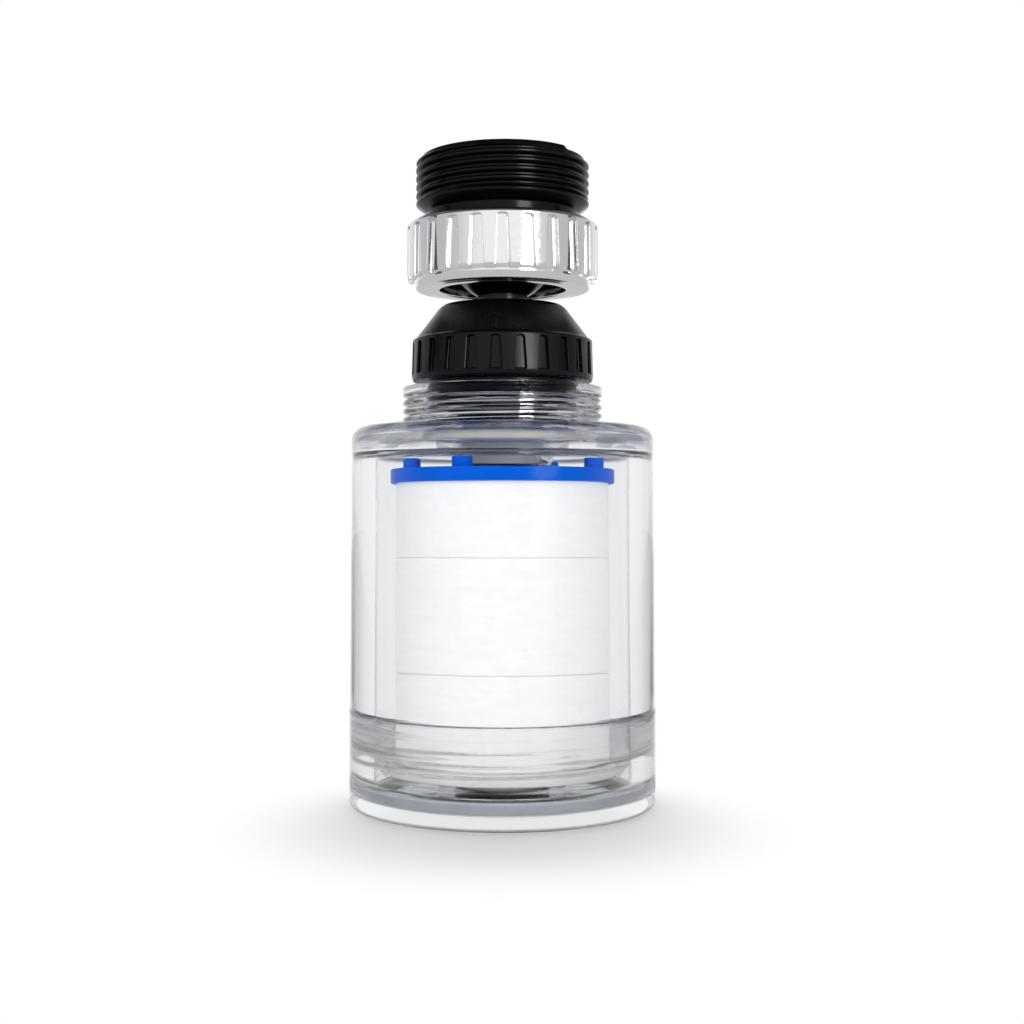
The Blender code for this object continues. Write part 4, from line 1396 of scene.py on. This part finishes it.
# %% Rubber and steel
def rubber(name):
    finish = new_finish(name)
    bloom = finish.noise(900.0, 5.0)
    grain = finish.noise(8000.0, 3.0)
    shader = finish.surface(
        Base_Color=finish.blend(bloom, (0.012, 0.012, 0.012), (0.03, 0.03, 0.031)),
        Roughness=finish.remap(bloom * 0.5 + grain * 0.5, 0.3, 0.7, 0.45, 0.65),
        Normal=finish.bump(grain, 0.02 * MM, 0.5),
    )
    return finish.done(shader)


def steel(name):
    finish = new_finish(name)
    drawn = finish.noise(3000.0, 4.0)
    shader = finish.surface(
        Base_Color=finish.blend(drawn, (0.50, 0.50, 0.51), (0.64, 0.64, 0.66)),
        Metallic=1.0,
        Roughness=finish.remap(drawn, 0.3, 0.7, 0.2, 0.38),
    )
    return finish.done(shader)


seal_rubber = rubber("seal_rubber")
wire_steel = steel("screen_steel")

# %% Model the washer and the O-rings
INLET_BORE_R = 6.5 * MM
inlet_r, inlet_low, inlet_high = span("inlet_washer")
inlet_washer = ring("rubber_inlet_washer", INLET_BORE_R, inlet_r, inlet_low, inlet_high, 0.25 * MM)
stand_for(inlet_washer, "inlet_washer", seal_rubber)
for node in ("stem_seal", "ball_seal", "outlet_seal"):
    outer_r, low, high = span(node)
    half = (high - low) / 2
    skin = Skin(MIDDLE)
    skin.profile(arc(outer_r - half, low + half, half, 0, 360, 24))
    stand_for(skin.build(f"rubber_{node}"), node, seal_rubber)

# %% Model the woven screen
WIRE_R = 0.09 * MM
WIRE_SPACING = 0.62 * MM
SCREEN_RIM = 0.9 * MM


def add_wire(points, faces, across, turned, lift):
    """One wavy wire of the screen, as a six-sided tube."""
    reach = math.sqrt(max(screen_r - SCREEN_RIM / 2, across) ** 2 - across**2)
    stations = max(int(4 * reach / WIRE_SPACING) * 2, 2)
    first = len(points)
    for station in range(stations + 1):
        along = -reach + 2 * reach * station / stations
        wave = lift * 0.9 * WIRE_R * math.cos(math.pi * along / WIRE_SPACING)
        for corner in range(6):
            turn = math.tau * corner / 6
            side = across + WIRE_R * math.cos(turn)
            height = screen_middle + wave + WIRE_R * math.sin(turn)
            points.append((side, along, height) if turned else (along, side, height))
    for station in range(stations):
        for corner in range(6):
            a = first + station * 6 + corner
            b = first + station * 6 + (corner + 1) % 6
            faces.append((a, b, b + 6, a + 6))
    faces.append([first + corner for corner in range(6)])
    faces.append([first + stations * 6 + corner for corner in range(6)])


screen_r, screen_low, screen_high = span("inlet_screen")
screen_middle = (screen_low + screen_high) / 2


def make_screen():
    points, faces = [], []
    count = int((screen_r - SCREEN_RIM) / WIRE_SPACING)
    for index in range(-count, count + 1):
        for turned in (False, True):
            lift = (1 if index % 2 else -1) * (1 if turned else -1)
            add_wire(points, faces, index * WIRE_SPACING, turned, lift)
    skin = Skin(MIDDLE)
    skin.points, skin.faces = points, faces
    half = (screen_high - screen_low) / 2
    edge = arc(screen_r - half, screen_middle, half, -90, 90, 8)
    rim_r = screen_r - SCREEN_RIM
    skin.profile([(rim_r, screen_low), *edge, (rim_r, screen_high), (rim_r, screen_low)])
    return skin.build("steel_screen")


stand_for(make_screen(), "inlet_screen", wire_steel)


# %% [markdown]
# ## The core
#
# The core tube is hidden in the cotton, and its plain solid already has its rows of holes. A finer
# tube would never be seen, so the plain one stays as it is and takes the white plastic.

# %% Finish the core tube
core = frame["nodes"]["core_tube"]
core.data.materials.clear()
core.data.materials.append(cap_white)
print("core tube:", len(core.data.polygons), "faces, as packed")


# %% [markdown]
# ## The studio
#
# The picture was taken in a white studio. The camera sees pure white, but what a mirror or clear
# plastic sees is a choice of its own. Chrome mirrors pale walls that are darker at the sides, with
# a dark slit to either side and a dim ceiling. Clear plastic sees an even pale grey with faint
# upright streaks, and dim blue-grey above. Walls could be modelled for this, but a world with a
# different look for each kind of ray gives the same and keeps the scene small.

# %% The room
ROOM_LEVEL = 0.42           # strength of the room's soft light on the filter
SIDE_GREY = 0.56            # of the room beside the filter, as chrome sees it
SLIT_GREY = 0.10            # of the dark slits there
MIRROR_TOP = 0.12           # of the ceiling, as chrome sees it
STREAKS = 8
STREAK_DARK = 0.84
STREAK_LIGHT = 0.91
SKY = (0.12, 0.15, 0.20)    # the dim ceiling, seen through bent clear plastic


def studio_world():
    world = bpy.data.worlds.new("studio")
    room = Finish(world, "Generated")
    x, y, z = room.split(room.place)
    turn = room.node("ShaderNodeMath", {"operation": "ARCTAN2"}, {0: y, 1: x})
    sideways = room.node("ShaderNodeMath", {"operation": "COSINE"}, {0: turn * 2.0})
    broad = room.remap(sideways, -1.0, 1.0, 1.0, SIDE_GREY)
    slit = room.remap(sideways, 0.970, 0.990)
    walls = broad * (1 - slit) + slit * SLIT_GREY
    above = room.remap(z, 0.35, 0.60)
    mirrored = room.background(walls * (1 - above) + above * MIRROR_TOP)
    wave = room.node("ShaderNodeMath", {"operation": "COSINE"}, {0: turn * float(STREAKS)})
    streak = room.remap(wave, -0.85, 0.2, STREAK_DARK, STREAK_LIGHT)
    grey = room.node("ShaderNodeCombineColor", None, {0: streak, 1: streak, 2: streak})
    through = room.background(room.blend(room.remap(z, 0.20, 0.60), grey, SKY))
    soft = room.background((0.985, 0.99, 1.0), ROOM_LEVEL)
    seen = room.mix(room.ray("Is Glossy Ray"), soft, mirrored)
    seen = room.mix(room.ray("Is Transmission Ray"), seen, through)
    shader = room.mix(room.ray("Is Camera Ray"), seen, room.background(1.0))
    room.node("ShaderNodeOutputWorld", None, {"Surface": shader})
    return world


bpy.context.scene.world = studio_world()
print("soft light of the room:", ROOM_LEVEL)


# %% [markdown]
# ## The table
#
# A real table runs into a curved white sheet behind. Here it is one large plain face. Near the
# filter it is a pale grey paint that takes the lamps' shadow. That grey zone reaches furthest in
# front of the filter, and the camera sees its paint a little darker, so it is also a painted
# shadow round the real one. Further out it turns into plain white, so that no line shows where it
# ends, and what a lamp does there no longer matters. Under the clear body, which gathers light like
# a lens, it is whiter than a shadow would leave it.

# %% Model the table
TABLE_HALF = 1.5
TABLE_DROP = 0.05 * MM      # keeps the table clear of the cap's underside
GATHERED = 0.9              # how white the clear body makes the table under it
# the grey zone round the real shadow is painted shadow, centred here
SHADOW_FORWARD = 15.0 * MM  # the shadow's middle, in front of the axis
SHADOW_CORE = 14.0 * MM     # inside this the table is all paint
SHADOW_REACH = 39.0 * MM    # beyond this it is plain white
PAINT = 0.80
# painted shadow: the camera sees the paint darker than other rays do
PAINT_SHADED_FOR_CAMERA = 0.75           # the same paint, as the camera sees it
MIRRORED_TABLE = 0.58       # how bright the plain white is in a mirror
CLEAR_TABLE = 0.88          # and through clear plastic


def make_table():
    mesh = bpy.data.meshes.new("table")
    corners = [(-1, -1), (1, -1), (1, 1), (-1, 1)]
    points = [(x * TABLE_HALF, y * TABLE_HALF, -TABLE_DROP) for x, y in corners]
    mesh.from_pydata(points, [], [(0, 1, 2, 3)])
    table = bpy.data.objects.new("table", mesh)
    bpy.context.scene.collection.objects.link(table)
    finish = new_finish("table_white")
    from_shadow = finish.length(finish.place + (0.0, SHADOW_FORWARD, 0.0))
    far = finish.remap(from_shadow, SHADOW_CORE, SHADOW_REACH)
    camera_ray, glossy_ray = finish.ray("Is Camera Ray"), finish.ray("Is Glossy Ray")
    clear_ray = finish.ray("Is Transmission Ray")
    paint = PAINT - camera_ray * (PAINT - PAINT_SHADED_FOR_CAMERA)
    paint = finish.node("ShaderNodeCombineColor", None, {0: paint, 1: paint, 2: paint})
    near = finish.node("ShaderNodeBsdfDiffuse", None, {"Color": paint})
    strength = 1.0 - glossy_ray * (1.0 - MIRRORED_TABLE) - clear_ray * (1.0 - CLEAR_TABLE)
    white = finish.node("ShaderNodeEmission", None, {"Color": 1.0, "Strength": strength})
    from_axis = finish.length(finish.place)
    under = finish.remap(from_axis, base_r - 1.0 * MM, base_r - 0.4 * MM, 1.0, 0.0)
    gathered = (clear_ray * (1.0 - far) + camera_ray * under) * GATHERED
    plain_white = far * (camera_ray + glossy_ray + clear_ray) + gathered
    mesh.materials.append(finish.done(finish.mix(plain_white, near, white)))
    return table


make_table()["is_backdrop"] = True
print(f"table of {2 * TABLE_HALF:.0f} m, {1000 * TABLE_DROP:.2f} mm under the filter")


# %% [markdown]
# ## The lamps
#
# One narrow softbox to the right of the camera puts a long highlight on the round pieces. The
# other four only light: a broad one to the left, two behind that brighten the edges, and one
# overhead, a little behind, whose shadow falls forward. Chrome and bent clear plastic would show
# them as hard bright patches, so they are hidden from the rays of both.

# %% Set up the lamps
LOOK_LEVEL = 45.0 * MM      # the level that every lamp points at


def softbox(name, azimuth, distance, rise, width, height, power, mirrored=True):
    """A soft panel that looks at the filter. azimuth is from the camera, to its right."""
    turn = math.radians(azimuth)
    lamp = bpy.data.lights.new(name, "AREA")
    lamp.shape = "RECTANGLE"
    lamp.size = width
    lamp.size_y = height
    lamp.energy = power
    holder = bpy.data.objects.new(name, lamp)
    holder.visible_glossy = mirrored
    holder.visible_transmission = mirrored
    bpy.context.scene.collection.objects.link(holder)
    holder.location = (distance * math.sin(turn), -distance * math.cos(turn), LOOK_LEVEL + rise)
    aim = Vector((0.0, 0.0, LOOK_LEVEL)) - holder.location
    holder.rotation_euler = aim.to_track_quat("-Z", "Y").to_euler()
    print(f"{name}: {power} W")


softbox("key", 32.5, 1.1, 0.05, 0.36, 0.6, 7.5)
softbox("fill", -35.0, 1.2, 0.35, 1.3, 1.3, 9.0, mirrored=False)
softbox("rim_left", -140.0, 1.2, 0.30, 0.4, 1.0, 1.2, mirrored=False)
softbox("rim_right", 140.0, 1.2, 0.30, 0.4, 1.0, 1.2, mirrored=False)
softbox("overhead", 180.0, 0.25, 1.15, 0.8, 0.8, 7.0, mirrored=False)


# %% [markdown]
# ## The camera
#
# The photograph looks as if taken from close by, level with the middle of the filter: the top
# shows from below and the foot from above. Distance, height and focal length are fitted to its
# outlines. The camera could be tipped to frame the filter, but then upright lines would lean. So
# it looks straight ahead, and a small shift brings the filter to its place in the picture.

# %% Set up the camera
PICTURE = 1024              # width and height of the photograph, in pixels
FOCAL_PIXELS = 1475         # focal length, in pixels
AXIS_X = 502.5              # column of the filter's axis
HORIZON_Y = 510             # row that is level with the camera
CAMERA_DISTANCE = 206.0 * MM
CAMERA_HEIGHT = 40.6 * MM

lens = bpy.data.cameras.new("camera")
lens.sensor_width = 36.0
lens.lens = lens.sensor_width * FOCAL_PIXELS / PICTURE
lens.shift_x = (PICTURE / 2 - AXIS_X) / PICTURE
lens.shift_y = (HORIZON_Y - PICTURE / 2) / PICTURE
lens.clip_start = 0.01
camera = bpy.data.objects.new("camera", lens)
bpy.context.scene.collection.objects.link(camera)
camera.location = (0.0, -CAMERA_DISTANCE, CAMERA_HEIGHT)
camera.rotation_euler = (math.radians(90.0), 0.0, 0.0)
bpy.context.scene.camera = camera
bpy.context.scene.view_settings.view_transform = "Standard"
print(f"lens of {lens.lens:.1f} mm, {1000 * CAMERA_DISTANCE:.0f} mm from the axis")


# %% [markdown]
# ## Boxes and the end
#
# The box of the plain solids and the box of the fine pieces are printed side by side, so that one
# can see whether the fine ones stay inside.

# %% Write both boxes, and finish
visual_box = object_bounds()
boxes = {"cad": [list(corner) for corner in cad_box], "visual": [list(corner) for corner in visual_box]}
for name, box in boxes.items():
    print(f"{name} box in mm:", [[round(1000 * value, 2) for value in corner] for corner in box])
